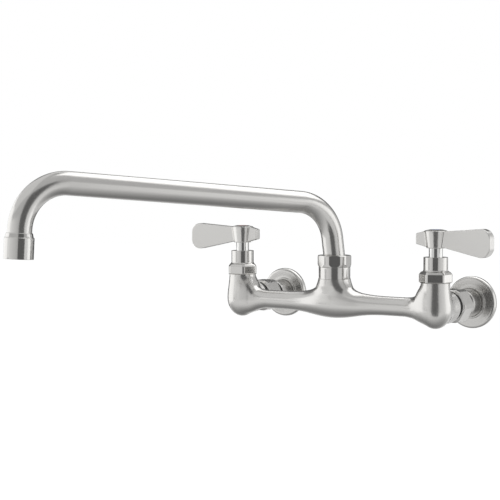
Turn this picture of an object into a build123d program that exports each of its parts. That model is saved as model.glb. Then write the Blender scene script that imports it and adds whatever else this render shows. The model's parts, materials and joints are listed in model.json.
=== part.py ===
from build123d import *
import math
import os

# A two-handle wall faucet with a swinging tube spout, in millimetres.
# X runs along the wall to the right, Y runs into the wall and Z is up. The origin lies on the wall
# face, midway between the two inlets, so the faucet stands out towards -Y. The handles are shut and
# the spout is swung to the left, as it hangs when it is put aside.

# ---------------------------------------------------------------- driving sizes
INLET_CENTRES = 203.2        # between the two wall inlets: eight inches
BODY_FROM_WALL = 78.5        # wall face to the plane of the valve and spout axes
RUNNING_GAP = 0.05           # radial gap of turning and screwed joints
EDGE = 0.4                   # broken edge on machined pieces

# wall inlets; lengths run out from the wall
FLANGE_DIA = 48.0
FLANGE_THICK = 5.4
FLANGE_RIM = 2.4             # round on the flange's front rim
FLANGE_HUB_DIA = 29.2
FLANGE_HUB_LENGTH = 2.8
SHANK_DIA = 26.0
SHANK_LENGTH = 30.2          # the full-diameter part
SHANK_SHOULDER = 0.8         # bevel at its front
SHANK_NECK_DIA = 22.4
SHANK_COLLAR_DIA = 24.0
SHANK_COLLAR_LENGTH = 3.2
PIPE_THREAD_DIA = 18.26      # half-inch taper pipe thread, at its tapping size
PIPE_THREAD_DEPTH = 15.0
INLET_BORE_DIA = 15.0
COUPLING_ACROSS_FLATS = 27.6
COUPLING_CORNER_DIA = 30.8
COUPLING_LENGTH = 19.0
COUPLING_BEVEL = 1.2
COUPLING_WALL = 3.4          # the nut's back wall, which pulls on the shank's collar
COUPLING_SLACK = 0.8         # behind the nut, once it is tight
COUPLING_GAP = 1.2           # between the nut and the boss behind the valve
COUPLING_WASHER = 2.0
SPIGOT_DIA = 24.6            # threaded end of the boss, inside the nut
BOSS_DIA = 28.2

# cast body; heights are above the inlet axis
CHEST_TOP = 22.7             # top of each valve chest
CHEST_TOP_DIA = 25.0
CHEST_DIA = 28.8
CHEST_DEPTH = 17.6           # how far the rounded chest reaches below the inlet axis
ARM_DIA = 15.6
ARM_SWELL_DIA = 27.4         # the arm at its middle, under the spout
ARM_SWELL_REACH = 60.0       # where the swelling has died away
NECK_TOP = 22.3
NECK_RIM = 0.45              # how far the neck's seat stands out past the collar
NECK_SPREAD = 14.7           # how far the neck's foot reaches along the arm past its seat
NECK_BORE_DIA = 16.0
NECK_SPIGOT_DIA = 22.0
NECK_SPIGOT_LENGTH = 6.0
CROSS_BORE_DIA = 9.0
CHAMBER_DIA = 19.6
CHAMBER_FLOOR = -1.0         # the valve seat
CHAMBER_TOP = 14.0           # ledge that the cartridge hangs on
SEAT_PORT_DIA = 9.0
SEAT_PORT_LENGTH = 2.0
POCKET_DIA = 12.0            # below the seat
POCKET_DEPTH = 12.0
INLET_WALL = 2.0             # metal between the inlet bore and the chamber

# bonnet and cartridge
BONNET_THREAD_DIA = 21.2
BONNET_ACROSS_FLATS = 26.0
BONNET_CORNER_DIA = 29.0
BONNET_HEX = 11.5
BONNET_FOOT_BEVEL = 1.7
BONNET_TOP_BEVEL = 2.6
BONNET_SLEEVE_DIA = 21.2
BONNET_SLEEVE = 11.0
BONNET_BORE_DIA = 15.8
BONNET_ROOF = 16.8           # thickness over the stem's collar
LEFT_BONNET_TURN = 5.5       # how far each hexagon ended up turned when it was tightened
RIGHT_BONNET_TURN = 24.0
SHELL_DIA = 16.4
SHELL_WALL = 0.8
SHELL_FLANGE = 1.5
SHELL_WINDOW_WIDTH = 6.0
SHELL_WINDOW_HEIGHT = 4.0
SEAL_HEIGHT = 2.5
SEAL_BORE_DIA = 10.0
DISC_SLACK = 0.2             # between the discs and the shell, all round
DISC_THICK = 3.2
DISC_PORT_DIA = 4.0
DISC_PORT_OFFSET = 4.1
PEG_DIA = 2.4                # pegs of the stem in the moving disc
PEG_OFFSET = 5.0
PEG_LENGTH = 2.0
STEM_DIA = 12.0
STEM_SHOWING = 7.7           # polished stem between bonnet and handle
STEM_COLLAR_DIA = 14.4
STEM_COLLAR = 2.8
STEM_LOWER_DIA = 8.0
STEM_FOOT = 3.0
STEM_FOOT_WIDTH = 5.0
STEM_RING_WIRE = 1.1         # thickness of the stem's sealing rings
STEM_RING_DROP = 6.0         # from the bonnet's top to the first ring, and from it to the next
SPLINE_DIA = 8.4

# handle; the blade's and tail's heights are above the hub's foot
HUB_HEIGHT = 15.1
HUB_FOOT_DIA = 16.0
HUB_TOP_DIA = 20.6
HUB_FLOOR = 1.6              # metal under the screw's head
BLADE_LENGTH = 54.6          # valve axis to the tip
BLADE_ROOT_LOW = 2.7
BLADE_ROOT_HIGH = 14.2
BLADE_TIP_LOW = -8.6
BLADE_TIP_HIGH = 18.4
BLADE_CORNER = 8.2
BLADE_ROOT_THICK = 6.6
BLADE_TIP_THICK = 8.0
BLADE_ROUND = 1.0            # round along the blade's edges
BLADE_SWEEP = 5.0            # degrees that the blade leans forward of the wall's line
TAIL_LENGTH = 17.9
TAIL_THICK = 6.2
TAIL_ROOT_LOW = 0.9
TAIL_ROOT_HIGH = 14.8
TAIL_END_LOW = 3.5
TAIL_END_HIGH = 12.7
SCREW_DIA = 4.2
SCREW_LENGTH = 12.0
SCREW_HEAD_DIA = 8.0
SCREW_HEAD = 2.2
SCREW_SLOT = 1.2
HEAD_ROOM = 0.3              # over the screw's head, under the cap
CAP_DIA = 19.0
CAP_SEAT = 1.6               # how far the cap is let into the hub
CAP_RISE = 1.2
CAP_SHOULDER = 0.3
CAP_FLAT_DIA = 11.2
INDEX_DIA = 9.0
INDEX_THICK = 0.6

# spout joint
FERRULE_OVER_TUBE = 0.65     # how far the ferrule's side stands out past the tube's
FERRULE_WALL = 1.6           # of its pilot inside the tube
FERRULE_CLEAR = 0.6          # under the ferrule
FERRULE_STEP = 1.5           # width of its shoulder
FERRULE_SHOULDER = 1.4
FERRULE_PILOT = 6.0          # brazed length inside the tube
SHOULDER_ROOM = 0.3          # between the shoulder and the thread round it
COLLAR_STEP = 2.1            # width of the collar's shoulder
COLLAR_HEIGHT = 10.7
COLLAR_SPIGOT_LENGTH = 5.6
SLIP_RING_THICK = 0.8
SPOUT_RING_WIRE = 1.6
SPOUT_RING_LOW = 2.2         # first ring above the ferrule's end
SPOUT_RING_PITCH = 4.2
GROOVE_SIDE = 0.2            # play of a sealing ring along its groove, each side
NUT_WALL = 2.15              # thinnest metal, in the middle of a flat
NUT_CORNERS = 0.8            # how far its turned-down corners stand out past the flats
NUT_FOOT_BEVEL = 2.2
NUT_TOP_BEVEL = 0.6
NUT_LIP = 2.9
NUT_TURN = 30.5
NUT_HOLE_GAP = 0.3           # least gap between the nut's lip and the leaning spout tube

# spout and aerator
SPOUT_REACH = 304.8          # spout axis to the outlet's centre: twelve inches
SPOUT_SWING = 24.56          # degrees from straight out, towards the left
TUBE_DIA = 19.7
TUBE_WALL = 1.2
TUBE_LEAN = 7.8              # degrees that the leg leans the way the spout points
TUBE_LEG = 19.25             # straight tube above the joint
RUN_SLOPE = 4.24             # degrees that the run climbs towards the outlet
BASE_BEND = 37.9
OUTLET_BEND = 39.1
OUTLET_LEAN = 3.12           # degrees that the outlet leans outward
OUTLET_LEG = 23.0            # end of the bend to the aerator's mouth
AERATOR_WALL = 2.05
AERATOR_LENGTH = 17.2
AERATOR_SOCKET = 8.0         # how far the tube goes into it
AERATOR_BEVEL = 1.6
AERATOR_LIP = 1.2
AERATOR_LIP_WIDTH = 1.1      # how far the lip reaches in under the screen
AERATOR_WASHER = 1.8
JET_DIA = 2.4
JET_STEP = 3.2               # from one ring of jets to the next
JET_RINGS = 2                # round the middle jet
SCREEN_THICK = 0.5
SCREEN_HOLE_DIA = 2.2

# ---------------------------------------------------------------- sizes that follow
VALVE_X = INLET_CENTRES / 2
SIDES = {"left": -1, "right": 1}
BONNET_TURN = {"left": LEFT_BONNET_TURN, "right": RIGHT_BONNET_TURN}

NUT_BACK = SHANK_LENGTH + COUPLING_SLACK
COLLAR_BACK = NUT_BACK + COUPLING_WALL
WASHER_BACK = COLLAR_BACK + SHANK_COLLAR_LENGTH
SPIGOT_END = WASHER_BACK + COUPLING_WASHER
BOSS_FACE = NUT_BACK + COUPLING_LENGTH + COUPLING_GAP

SHELL_BORE_DIA = SHELL_DIA - 2 * SHELL_WALL
DISC_DIA = SHELL_BORE_DIA - 2 * DISC_SLACK
SEAL_TOP = CHAMBER_FLOOR + SEAL_HEIGHT
FIXED_TOP = SEAL_TOP + DISC_THICK
MOVING_LOW = FIXED_TOP + RUNNING_GAP
MOVING_TOP = MOVING_LOW + DISC_THICK
FOOT_TOP = MOVING_TOP + STEM_FOOT
SHELL_TOP = CHAMBER_TOP + SHELL_FLANGE
HEX_TOP = CHEST_TOP + BONNET_HEX
BONNET_TOP = HEX_TOP + BONNET_SLEEVE
ROOF_LOW = BONNET_TOP - BONNET_ROOF
COLLAR_OF_STEM_TOP = ROOF_LOW - RUNNING_GAP
HUB_FOOT = BONNET_TOP + STEM_SHOWING
HUB_TOP = HUB_FOOT + HUB_HEIGHT
CAP_LOW = HUB_TOP - CAP_SEAT
SCREW_SEAT = CAP_LOW - HEAD_ROOM - SCREW_HEAD
SOCKET_TOP = SCREW_SEAT - HUB_FLOOR
SPLINE_TOP = SOCKET_TOP - HEAD_ROOM
SCREW_END = SCREW_SEAT - SCREW_LENGTH

TUBE_BORE_DIA = TUBE_DIA - 2 * TUBE_WALL
FERRULE_DIA = TUBE_DIA + 2 * FERRULE_OVER_TUBE
PILOT_BORE_DIA = TUBE_BORE_DIA - 2 * (RUNNING_GAP + FERRULE_WALL)
FERRULE_SHOULDER_DIA = FERRULE_DIA + 2 * FERRULE_STEP
COLLAR_SPIGOT_DIA = FERRULE_SHOULDER_DIA + 2 * SHOULDER_ROOM
COLLAR_DIA = COLLAR_SPIGOT_DIA + 2 * COLLAR_STEP
COLLAR_BORE_DIA = FERRULE_DIA + 2 * RUNNING_GAP
NECK_DIA = COLLAR_DIA + 2 * NECK_RIM
NUT_BORE_DIA = COLLAR_SPIGOT_DIA + 2 * RUNNING_GAP
NUT_ACROSS_FLATS = NUT_BORE_DIA + 2 * NUT_WALL
NUT_CORNER_DIA = NUT_ACROSS_FLATS + 2 * NUT_CORNERS
AERATOR_DIA = TUBE_DIA + 2 * (RUNNING_GAP + AERATOR_WALL)
AERATOR_MOUTH_DIA = TUBE_DIA - 2 * AERATOR_LIP_WIDTH

COLLAR_SEAT = NECK_TOP + NECK_SPIGOT_LENGTH
COLLAR_SHOULDER = NECK_TOP + COLLAR_HEIGHT
COLLAR_TOP = COLLAR_SHOULDER + COLLAR_SPIGOT_LENGTH
SLIP_TOP = COLLAR_TOP + SLIP_RING_THICK
SHOULDER_LOW = SLIP_TOP + RUNNING_GAP
TUBE_START = SHOULDER_LOW + FERRULE_SHOULDER
LIP_LOW = TUBE_START + RUNNING_GAP
NUT_TOP = LIP_LOW + NUT_LIP
FERRULE_LOW = COLLAR_SEAT + FERRULE_CLEAR

# the spout's centre line lies in an upright plane: distance from its own axis, and height
LEG_LEAN = math.radians(TUBE_LEAN)
BASE_TANGENT = BASE_BEND * math.tan(math.radians((90 - RUN_SLOPE - TUBE_LEAN) / 2))
LEG_LINE = TUBE_LEG + BASE_TANGENT
OUTLET_TANGENT = OUTLET_BEND * math.tan(math.radians((90 + RUN_SLOPE - OUTLET_LEAN) / 2))
OUTLET_DROP = OUTLET_TANGENT + OUTLET_LEG
LEAN = math.radians(OUTLET_LEAN)
RUN_START_REACH = LEG_LINE * math.sin(LEG_LEAN)
RUN_START_HEIGHT = TUBE_START + LEG_LINE * math.cos(LEG_LEAN)
RUN_END_REACH = SPOUT_REACH - OUTLET_DROP * math.sin(LEAN)
RUN_CLIMB = (RUN_END_REACH - RUN_START_REACH) * math.tan(math.radians(RUN_SLOPE))
RUN_END_HEIGHT = RUN_START_HEIGHT + RUN_CLIMB
MOUTH_HEIGHT = RUN_END_HEIGHT - OUTLET_DROP * math.cos(LEAN)
TUBE_DROP = OUTLET_DROP - AERATOR_LENGTH + AERATOR_SOCKET

# the leg leans, so the ferrule's upright bore and the hole that the tube turns in are a little wider
FERRULE_BORE_DIA = PILOT_BORE_DIA / math.cos(LEG_LEAN) + 2 * RUNNING_GAP
LEG_REACH = TUBE_DIA / 2 / math.cos(LEG_LEAN) + (NUT_TOP - TUBE_START) * math.tan(LEG_LEAN)
NUT_HOLE_DIA = 2 * (LEG_REACH + NUT_HOLE_GAP)


# ---------------------------------------------------------------- helpers
def rod(diameter, low, high):
    """A round bar on the Z axis, between two heights."""
    bar = Cylinder(diameter / 2, high - low, align=(Align.CENTER, Align.CENTER, Align.MIN))
    return Pos(0, 0, low) * bar


def ring(outer, inner, low, high):
    """A round ring on the Z axis, between two heights."""
    return rod(outer, low, high) - rod(inner, low, high)


def turned(*outline):
    """A solid turned about the Z axis from its half outline of (radius, height) points."""
    points = [(radius, 0, height) for radius, height in outline]
    return revolve(make_face(Polyline(*points, close=True)), Axis.Z)


def hexagon(across_flats, corner_dia, low, high, low_bevel, high_bevel, low_dia=None, high_dia=None):
    """A hexagon bar on the Z axis, with its corners turned down and bevelled at both ends."""
    bar = Pos(0, 0, low) * extrude(RegularPolygon(across_flats / 2, 6, major_radius=False), high - low)
    corner = corner_dia / 2
    low_radius, high_radius = (low_dia or across_flats) / 2, (high_dia or across_flats) / 2
    blank = turned(
        (0, low), (low_radius, low), (corner, low + low_bevel),
        (corner, high - high_bevel), (high_radius, high), (0, high),
    )
    return bar & blank


def seal_rings(outer_dia, wire, heights):
    """Round sealing rings, as separate solids, that reach out to the given diameter."""
    return [Pos(0, 0, height) * Torus(outer_dia / 2 - wire / 2, wire / 2) for height in heights]


def groove(outer_dia, wire, height):
    """The groove that a sealing ring lies in."""
    half = wire / 2 + GROOVE_SIDE
    return ring(outer_dia + wire, outer_dia - 2 * wire, height - half, height + half)


def at_valve(side, piece):
    """Move a piece made on the Z axis to the left or right valve."""
    return Pos(SIDES[side] * VALVE_X, -BODY_FROM_WALL, 0) * piece


def at_inlet(side, piece):
    """Move a piece made on the Z axis, with heights as distances from the wall, to an inlet."""
    return Pos(SIDES[side] * VALVE_X, 0, 0) * Rot(90, 0, 0) * piece


def at_spout(piece):
    """Move a piece made on the Z axis to the spout's own axis."""
    return Pos(0, -BODY_FROM_WALL, 0) * piece


# ---------------------------------------------------------------- cast body
def swollen_arm():
    """The long arm between the valves, thick under the spout and slim towards the valves."""
    def radius(x):
        share = 0.5 * (1 + math.cos(math.pi * x / ARM_SWELL_REACH))
        return ARM_DIA / 2 + (ARM_SWELL_DIA - ARM_DIA) / 2 * share ** 1.4

    stations = [ARM_SWELL_REACH * step / 5 for step in range(-5, 6)]
    level = [(1, 0, 0), (1, 0, 0)]
    swelling = Spline(*[(x, 0, radius(x)) for x in stations], tangents=level)
    near, far, edge = ARM_SWELL_REACH, VALVE_X, ARM_DIA / 2
    rest = Polyline(
        (near, 0, edge), (far, 0, edge), (far, 0, 0),
        (-far, 0, 0), (-far, 0, edge), (-near, 0, edge),
    )
    return revolve(make_face(swelling + rest), Axis.X)


def chest():
    """One valve chest: a rounded bulb that narrows a little to its machined top."""
    side, top, low = CHEST_DIA / 2, CHEST_TOP_DIA / 2, -CHEST_DEPTH
    halfway = (side * math.sqrt(0.5), low * math.sqrt(0.5))
    bottom = Spline((0, low), halfway, (side, 0), tangents=[(1, 0), (0, 1)])
    wall = Spline((side, 0), (top, CHEST_TOP), tangents=[(0, 1), (-0.12, 1)])
    rest = Polyline((top, CHEST_TOP), (0, CHEST_TOP), (0, low))
    bulb = revolve(Rot(90, 0, 0) * make_face(bottom + wall + rest), Axis.Z)
    return Rot(0, 0, -90) * bulb


def arm_root():
    """The metal that spreads from the arm's left end into a chest, as ovals along the arm."""
    arm, side = ARM_DIA / 2, CHEST_DIA / 2
    climb, drop = CHEST_TOP - arm, CHEST_DEPTH - arm
    ovals = [
        # distance from the valve axis in chest radii; then shares of the climb to the chest's top,
        # of the drop to its bottom, and of the widening from the arm to the chest
        (2.08, 0.00, 0.00, 0.00),
        (1.74, 0.04, 0.09, 0.02),
        (1.42, 0.15, 0.22, 0.09),
        (1.18, 0.36, 0.35, 0.21),
        (1.01, 0.64, 0.46, 0.32),
        (0.62, 0.86, 0.54, 0.24),
    ]
    faces = []
    for reach, up, down, widening in ovals:
        top = arm + up * climb
        low = -arm - down * drop
        middle = Plane(origin=(reach * side, 0, (top + low) / 2), x_dir=(0, 1, 0), z_dir=(1, 0, 0))
        faces.append(middle * Ellipse(arm + widening * (side - arm), (top - low) / 2))
    return loft(faces)


def neck():
    """The neck that spreads from the spout's seat down into the arm, as level ovals."""
    swell, seat = ARM_SWELL_DIA / 2, NECK_DIA / 2
    ovals = [
        # shares of the neck's height, of its spread along the arm, and of the widening to its seat
        (0.00, 1.00, 0.00),
        (0.24, 0.90, 0.05),
        (0.47, 0.49, 0.25),
        (0.60, 0.27, 0.56),
        (0.73, 0.15, 0.88),
        (0.86, 0.06, 0.97),
        (1.00, 0.00, 1.00),
    ]
    faces = []
    for height, spread, widening in ovals:
        oval = Ellipse(seat + spread * NECK_SPREAD, swell + widening * (seat - swell))
        faces.append(Pos(0, 0, height * NECK_TOP) * oval)
    return loft(faces)


def chest_hollow():
    """The water space of one valve: chamber, seat port, pocket below it and the bonnet's thread."""
    port_low = CHAMBER_FLOOR - SEAT_PORT_LENGTH
    space = rod(CHAMBER_DIA, CHAMBER_FLOOR, CHAMBER_TOP)
    space += rod(BONNET_THREAD_DIA + 2 * RUNNING_GAP, CHAMBER_TOP, CHEST_TOP)
    space += rod(SEAT_PORT_DIA, port_low, CHAMBER_FLOOR)
    return space + rod(POCKET_DIA, -POCKET_DEPTH, port_low)


def inlet_hollow():
    """The way in from the wall, with heights as distances from it, and down under the seat."""
    wide_end = BODY_FROM_WALL - CHAMBER_DIA / 2 - INLET_WALL
    low_way_dia = POCKET_DEPTH - SEAT_PORT_LENGTH - INLET_WALL
    low_way_height = CHAMBER_FLOOR - SEAT_PORT_LENGTH - low_way_dia / 2
    low_way = Pos(0, low_way_height, 0) * rod(low_way_dia, wide_end - low_way_dia, BODY_FROM_WALL)
    return rod(INLET_BORE_DIA, SPIGOT_END, wide_end) + low_way


def cross_body():
    """The one-piece casting that joins both valves, the spout's seat and both inlets."""
    body = at_spout(swollen_arm() + neck() + rod(NECK_SPIGOT_DIA, NECK_TOP - EDGE, COLLAR_SEAT))
    root = arm_root()
    for side in SIDES:
        turned_root = Rot(0, 0, 180) * root if side == "right" else root
        body += at_valve(side, chest() + turned_root)
        boss = rod(BOSS_DIA, BOSS_FACE, BODY_FROM_WALL) + rod(SPIGOT_DIA, SPIGOT_END, BOSS_FACE)
        body += at_inlet(side, boss)
    body -= at_spout(rod(NECK_BORE_DIA, -CROSS_BORE_DIA / 2, COLLAR_SEAT))
    cross_reach = VALVE_X - CHAMBER_DIA / 2 + INLET_WALL / 2
    body -= at_spout(Rot(0, 90, 0) * rod(CROSS_BORE_DIA, -cross_reach, cross_reach))
    for side in SIDES:
        body -= at_valve(side, chest_hollow())
        body -= at_inlet(side, inlet_hollow())
    return body


# ---------------------------------------------------------------- wall inlets
def wall_flange():
    """The round cover plate against the wall, with its short hub."""
    disc = rod(FLANGE_DIA, 0, FLANGE_THICK)
    rims = disc.edges().filter_by(GeomType.CIRCLE).sort_by(Axis.Z)
    disc = fillet(rims[-1], FLANGE_RIM)
    back = disc.edges().filter_by(GeomType.CIRCLE).sort_by(Axis.Z)[0]
    disc = chamfer(back, EDGE)
    hub_end = FLANGE_THICK + FLANGE_HUB_LENGTH
    hub = turned(
        (0, 0), (FLANGE_HUB_DIA / 2, 0), (FLANGE_HUB_DIA / 2, hub_end - EDGE),
        (FLANGE_HUB_DIA / 2 - EDGE, hub_end), (0, hub_end),
    )
    return disc + hub - rod(SHANK_DIA + 2 * RUNNING_GAP, 0, hub_end)


def inlet_shank():
    """The turned shank: pipe thread at the wall, and a collar that the coupling nut pulls on."""
    neck_radius, collar_radius = SHANK_NECK_DIA / 2, SHANK_COLLAR_DIA / 2
    shank = turned(
        (0, 0), (SHANK_DIA / 2, 0), (SHANK_DIA / 2, SHANK_LENGTH - SHANK_SHOULDER),
        (SHANK_DIA / 2 - SHANK_SHOULDER, SHANK_LENGTH), (neck_radius, SHANK_LENGTH),
        (neck_radius, COLLAR_BACK), (collar_radius, COLLAR_BACK),
        (collar_radius, WASHER_BACK), (0, WASHER_BACK),
    )
    return shank - rod(PIPE_THREAD_DIA, 0, PIPE_THREAD_DEPTH) - rod(INLET_BORE_DIA, 0, WASHER_BACK)


def coupling_nut():
    """The hexagon nut that draws the shank's collar up to the body."""
    front = NUT_BACK + COUPLING_LENGTH
    nut = hexagon(
        COUPLING_ACROSS_FLATS, COUPLING_CORNER_DIA, NUT_BACK, front, COUPLING_BEVEL, COUPLING_BEVEL,
    )
    nut -= rod(SPIGOT_DIA + 2 * RUNNING_GAP, COLLAR_BACK, front)
    return nut - rod((SHANK_NECK_DIA + SHANK_COLLAR_DIA) / 2, NUT_BACK, COLLAR_BACK)


def coupling_washer():
    """The flat washer squeezed between the shank and the body."""
    return ring(SHANK_COLLAR_DIA, INLET_BORE_DIA + 2 * EDGE, WASHER_BACK, SPIGOT_END)


# ---------------------------------------------------------------- valves
def bonnet():
    """The hexagon bonnet that screws into a chest and holds the cartridge and stem."""
    body = rod(BONNET_THREAD_DIA, SHELL_TOP, CHEST_TOP)
    body += hexagon(
        BONNET_ACROSS_FLATS, BONNET_CORNER_DIA, CHEST_TOP, HEX_TOP,
        BONNET_FOOT_BEVEL, BONNET_TOP_BEVEL, CHEST_TOP_DIA - 2 * EDGE, BONNET_SLEEVE_DIA + 2 * EDGE,
    )
    sleeve = BONNET_SLEEVE_DIA / 2
    body += turned(
        (0, HEX_TOP), (sleeve, HEX_TOP), (sleeve, BONNET_TOP - EDGE),
        (sleeve - EDGE, BONNET_TOP), (0, BONNET_TOP),
    )
    body -= rod(BONNET_BORE_DIA, SHELL_TOP, ROOF_LOW)
    return body - rod(STEM_DIA + 2 * RUNNING_GAP, ROOF_LOW, BONNET_TOP)


def cartridge_shell():
    """The thin shell round the discs, hung by its flange under the bonnet, with three windows."""
    low = CHAMBER_FLOOR + RUNNING_GAP
    shell = rod(SHELL_DIA, low, SHELL_TOP) + rod(BONNET_THREAD_DIA - 2 * EDGE, CHAMBER_TOP, SHELL_TOP)
    shell -= rod(SHELL_BORE_DIA, low, SHELL_TOP)
    low_edge = (Align.MIN, Align.CENTER, Align.MIN)
    window = Box(SHELL_DIA, SHELL_WINDOW_WIDTH, SHELL_WINDOW_HEIGHT, align=low_edge)
    for turn in (30, 150, 270):
        shell -= Rot(0, 0, turn) * Pos(0, 0, MOVING_TOP) * window
    return shell


def seat_seal():
    """The rubber ring on the valve seat."""
    return ring(DISC_DIA, SEAL_BORE_DIA, CHAMBER_FLOOR, SEAL_TOP)


def ported_disc(low, high, along_x):
    """A ceramic disc with two ports, side by side along X or along Y."""
    disc = rod(DISC_DIA, low, high)
    for sign in (-1, 1):
        offset = sign * DISC_PORT_OFFSET
        place = Pos(offset, 0, 0) if along_x else Pos(0, offset, 0)
        disc -= place * rod(DISC_PORT_DIA, low, high)
    return disc


def fixed_disc():
    """The lower disc, with its ports along X."""
    return ported_disc(SEAL_TOP, FIXED_TOP, True)


def moving_disc():
    """The upper disc, with its ports along Y while the valve is shut, and blind peg holes."""
    disc = ported_disc(MOVING_LOW, MOVING_TOP, False)
    for sign in (-1, 1):
        peg_hole = rod(PEG_DIA + 2 * RUNNING_GAP, MOVING_TOP - PEG_LENGTH, MOVING_TOP)
        disc -= Pos(sign * PEG_OFFSET, 0, 0) * peg_hole
    return disc


def stem():
    """The stem: pegs and foot below, collar, sealing grooves, and a spline for the handle."""
    body = rod(STEM_LOWER_DIA, MOVING_TOP, COLLAR_OF_STEM_TOP)
    foot = Box(DISC_DIA, STEM_FOOT_WIDTH, STEM_FOOT, align=(Align.CENTER, Align.CENTER, Align.MIN))
    body += (Pos(0, 0, MOVING_TOP) * foot) & rod(DISC_DIA, MOVING_TOP, FOOT_TOP)
    for sign in (-1, 1):
        body += Pos(sign * PEG_OFFSET, 0, 0) * rod(PEG_DIA, MOVING_TOP - PEG_LENGTH + RUNNING_GAP, FOOT_TOP)
    body += rod(STEM_COLLAR_DIA, COLLAR_OF_STEM_TOP - STEM_COLLAR, COLLAR_OF_STEM_TOP)
    body += rod(STEM_DIA, COLLAR_OF_STEM_TOP, HUB_FOOT)
    body += rod(SPLINE_DIA, HUB_FOOT, SPLINE_TOP)
    for height in stem_ring_heights():
        body -= groove(STEM_DIA, STEM_RING_WIRE, height)
    return body - rod(SCREW_DIA + 2 * RUNNING_GAP, SCREW_END - HEAD_ROOM, SPLINE_TOP)


def stem_ring_heights():
    """Where the two sealing rings lie on the stem."""
    return [BONNET_TOP - STEM_RING_DROP, BONNET_TOP - 2 * STEM_RING_DROP]


# ---------------------------------------------------------------- handles
def blade():
    """The spade-shaped blade, along +X, thicker and taller towards its rounded tip."""
    tip = BLADE_LENGTH
    front = make_face(Polyline(
        (0, BLADE_ROOT_LOW), (tip, BLADE_TIP_LOW), (tip, BLADE_TIP_HIGH), (0, BLADE_ROOT_HIGH), close=True,
    ))
    corners = front.vertices().sort_by(Axis.X)[-2:]
    front = fillet(corners, BLADE_CORNER)
    plan = make_face(Polyline(
        (0, -BLADE_ROOT_THICK / 2), (tip, -BLADE_TIP_THICK / 2),
        (tip, BLADE_TIP_THICK / 2), (0, BLADE_ROOT_THICK / 2), close=True,
    ))
    upright = Rot(90, 0, 0) * extrude(front, BLADE_TIP_THICK, both=True)
    wedge = extrude(plan, BLADE_TIP_HIGH - BLADE_TIP_LOW)
    solid = upright & (Pos(0, 0, BLADE_TIP_LOW) * wedge)
    sides = solid.faces().sort_by(Axis.Y)
    return fillet(sides[0].edges() + sides[-1].edges(), BLADE_ROUND)


def tail():
    """The short tapered tail, along -X."""
    hub = HUB_FOOT_DIA / 2
    outline = make_face(Polyline(
        (0, TAIL_ROOT_LOW), (-hub, TAIL_ROOT_LOW), (-TAIL_LENGTH, TAIL_END_LOW),
        (-TAIL_LENGTH, TAIL_END_HIGH), (-HUB_TOP_DIA / 2, TAIL_ROOT_HIGH), (0, TAIL_ROOT_HIGH), close=True,
    ))
    solid = Rot(90, 0, 0) * extrude(outline, TAIL_THICK / 2, both=True)
    return fillet(solid.faces().sort_by(Axis.X)[0].edges(), EDGE)


def handle(side):
    """One lever: conical hub, blade and tail, with its spline socket and the cap's seat."""
    foot, top = HUB_FOOT_DIA / 2, HUB_TOP_DIA / 2
    body = turned(
        (0, 0), (foot - EDGE, 0), (foot, EDGE),
        (top, HUB_HEIGHT - EDGE), (top - EDGE, HUB_HEIGHT), (0, HUB_HEIGHT),
    )
    body += Rot(0, 0, -BLADE_SWEEP) * blade() + tail()
    body = Pos(0, 0, HUB_FOOT) * body
    body -= rod(SPLINE_DIA + 2 * RUNNING_GAP, HUB_FOOT, SOCKET_TOP)
    body -= rod(SCREW_DIA + 2 * EDGE, SOCKET_TOP, SCREW_SEAT)
    body -= rod(SCREW_HEAD_DIA + 2 * EDGE, SCREW_SEAT, CAP_LOW)
    body -= rod(CAP_DIA + 2 * RUNNING_GAP, CAP_LOW, HUB_TOP)
    return mirror(body, Plane.YZ) if side == "left" else body


def handle_screw():
    """The screw that holds a lever down on its stem."""
    head_top = SCREW_SEAT + SCREW_HEAD
    screw = rod(SCREW_DIA, SCREW_END, SCREW_SEAT) + rod(SCREW_HEAD_DIA, SCREW_SEAT, head_top)
    slot = Box(SCREW_HEAD_DIA, SCREW_SLOT, SCREW_SLOT, align=(Align.CENTER, Align.CENTER, Align.MAX))
    return screw - Pos(0, 0, head_top) * slot


def index_cap():
    """The low metal cap that closes the hub, hollowed for its coloured disc."""
    top = HUB_TOP + CAP_RISE
    cap = turned(
        (0, CAP_LOW), (CAP_DIA / 2, CAP_LOW), (CAP_DIA / 2, HUB_TOP + CAP_SHOULDER),
        (CAP_FLAT_DIA / 2, top), (0, top),
    )
    return cap - rod(INDEX_DIA, top - INDEX_THICK, top)


def index_disc():
    """The coloured disc that tells hot from cold."""
    top = HUB_TOP + CAP_RISE
    return rod(INDEX_DIA, top - INDEX_THICK, top)


# ---------------------------------------------------------------- spout joint
def neck_collar():
    """The machined collar screwed on the neck, which the spout's ferrule turns in."""
    collar = ring(COLLAR_DIA, COLLAR_BORE_DIA, NECK_TOP, COLLAR_SHOULDER)
    collar += ring(COLLAR_SPIGOT_DIA, COLLAR_BORE_DIA, COLLAR_SHOULDER, COLLAR_TOP)
    return collar - rod(NECK_SPIGOT_DIA + 2 * RUNNING_GAP, NECK_TOP, COLLAR_SEAT)


def spout_nut():
    """The hexagon nut that keeps the ferrule's shoulder down."""
    nut = hexagon(
        NUT_ACROSS_FLATS, NUT_CORNER_DIA, COLLAR_SHOULDER, NUT_TOP, NUT_FOOT_BEVEL, NUT_TOP_BEVEL,
        COLLAR_DIA - 2 * EDGE, NUT_CORNER_DIA - 2 * NUT_TOP_BEVEL,
    )
    nut -= rod(NUT_BORE_DIA, COLLAR_SHOULDER, LIP_LOW)
    return Rot(0, 0, NUT_TURN) * (nut - rod(NUT_HOLE_DIA, LIP_LOW, NUT_TOP))


def slip_ring():
    """The plastic ring that the ferrule's shoulder turns on."""
    return ring(FERRULE_SHOULDER_DIA, FERRULE_DIA + 2 * EDGE, COLLAR_TOP, SLIP_TOP)


def leaning(piece):
    """Lean a piece made on the Z axis, with heights above the joint, as the tube's leg leans."""
    return Pos(0, 0, TUBE_START) * Rot(0, TUBE_LEAN, 0) * piece


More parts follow.
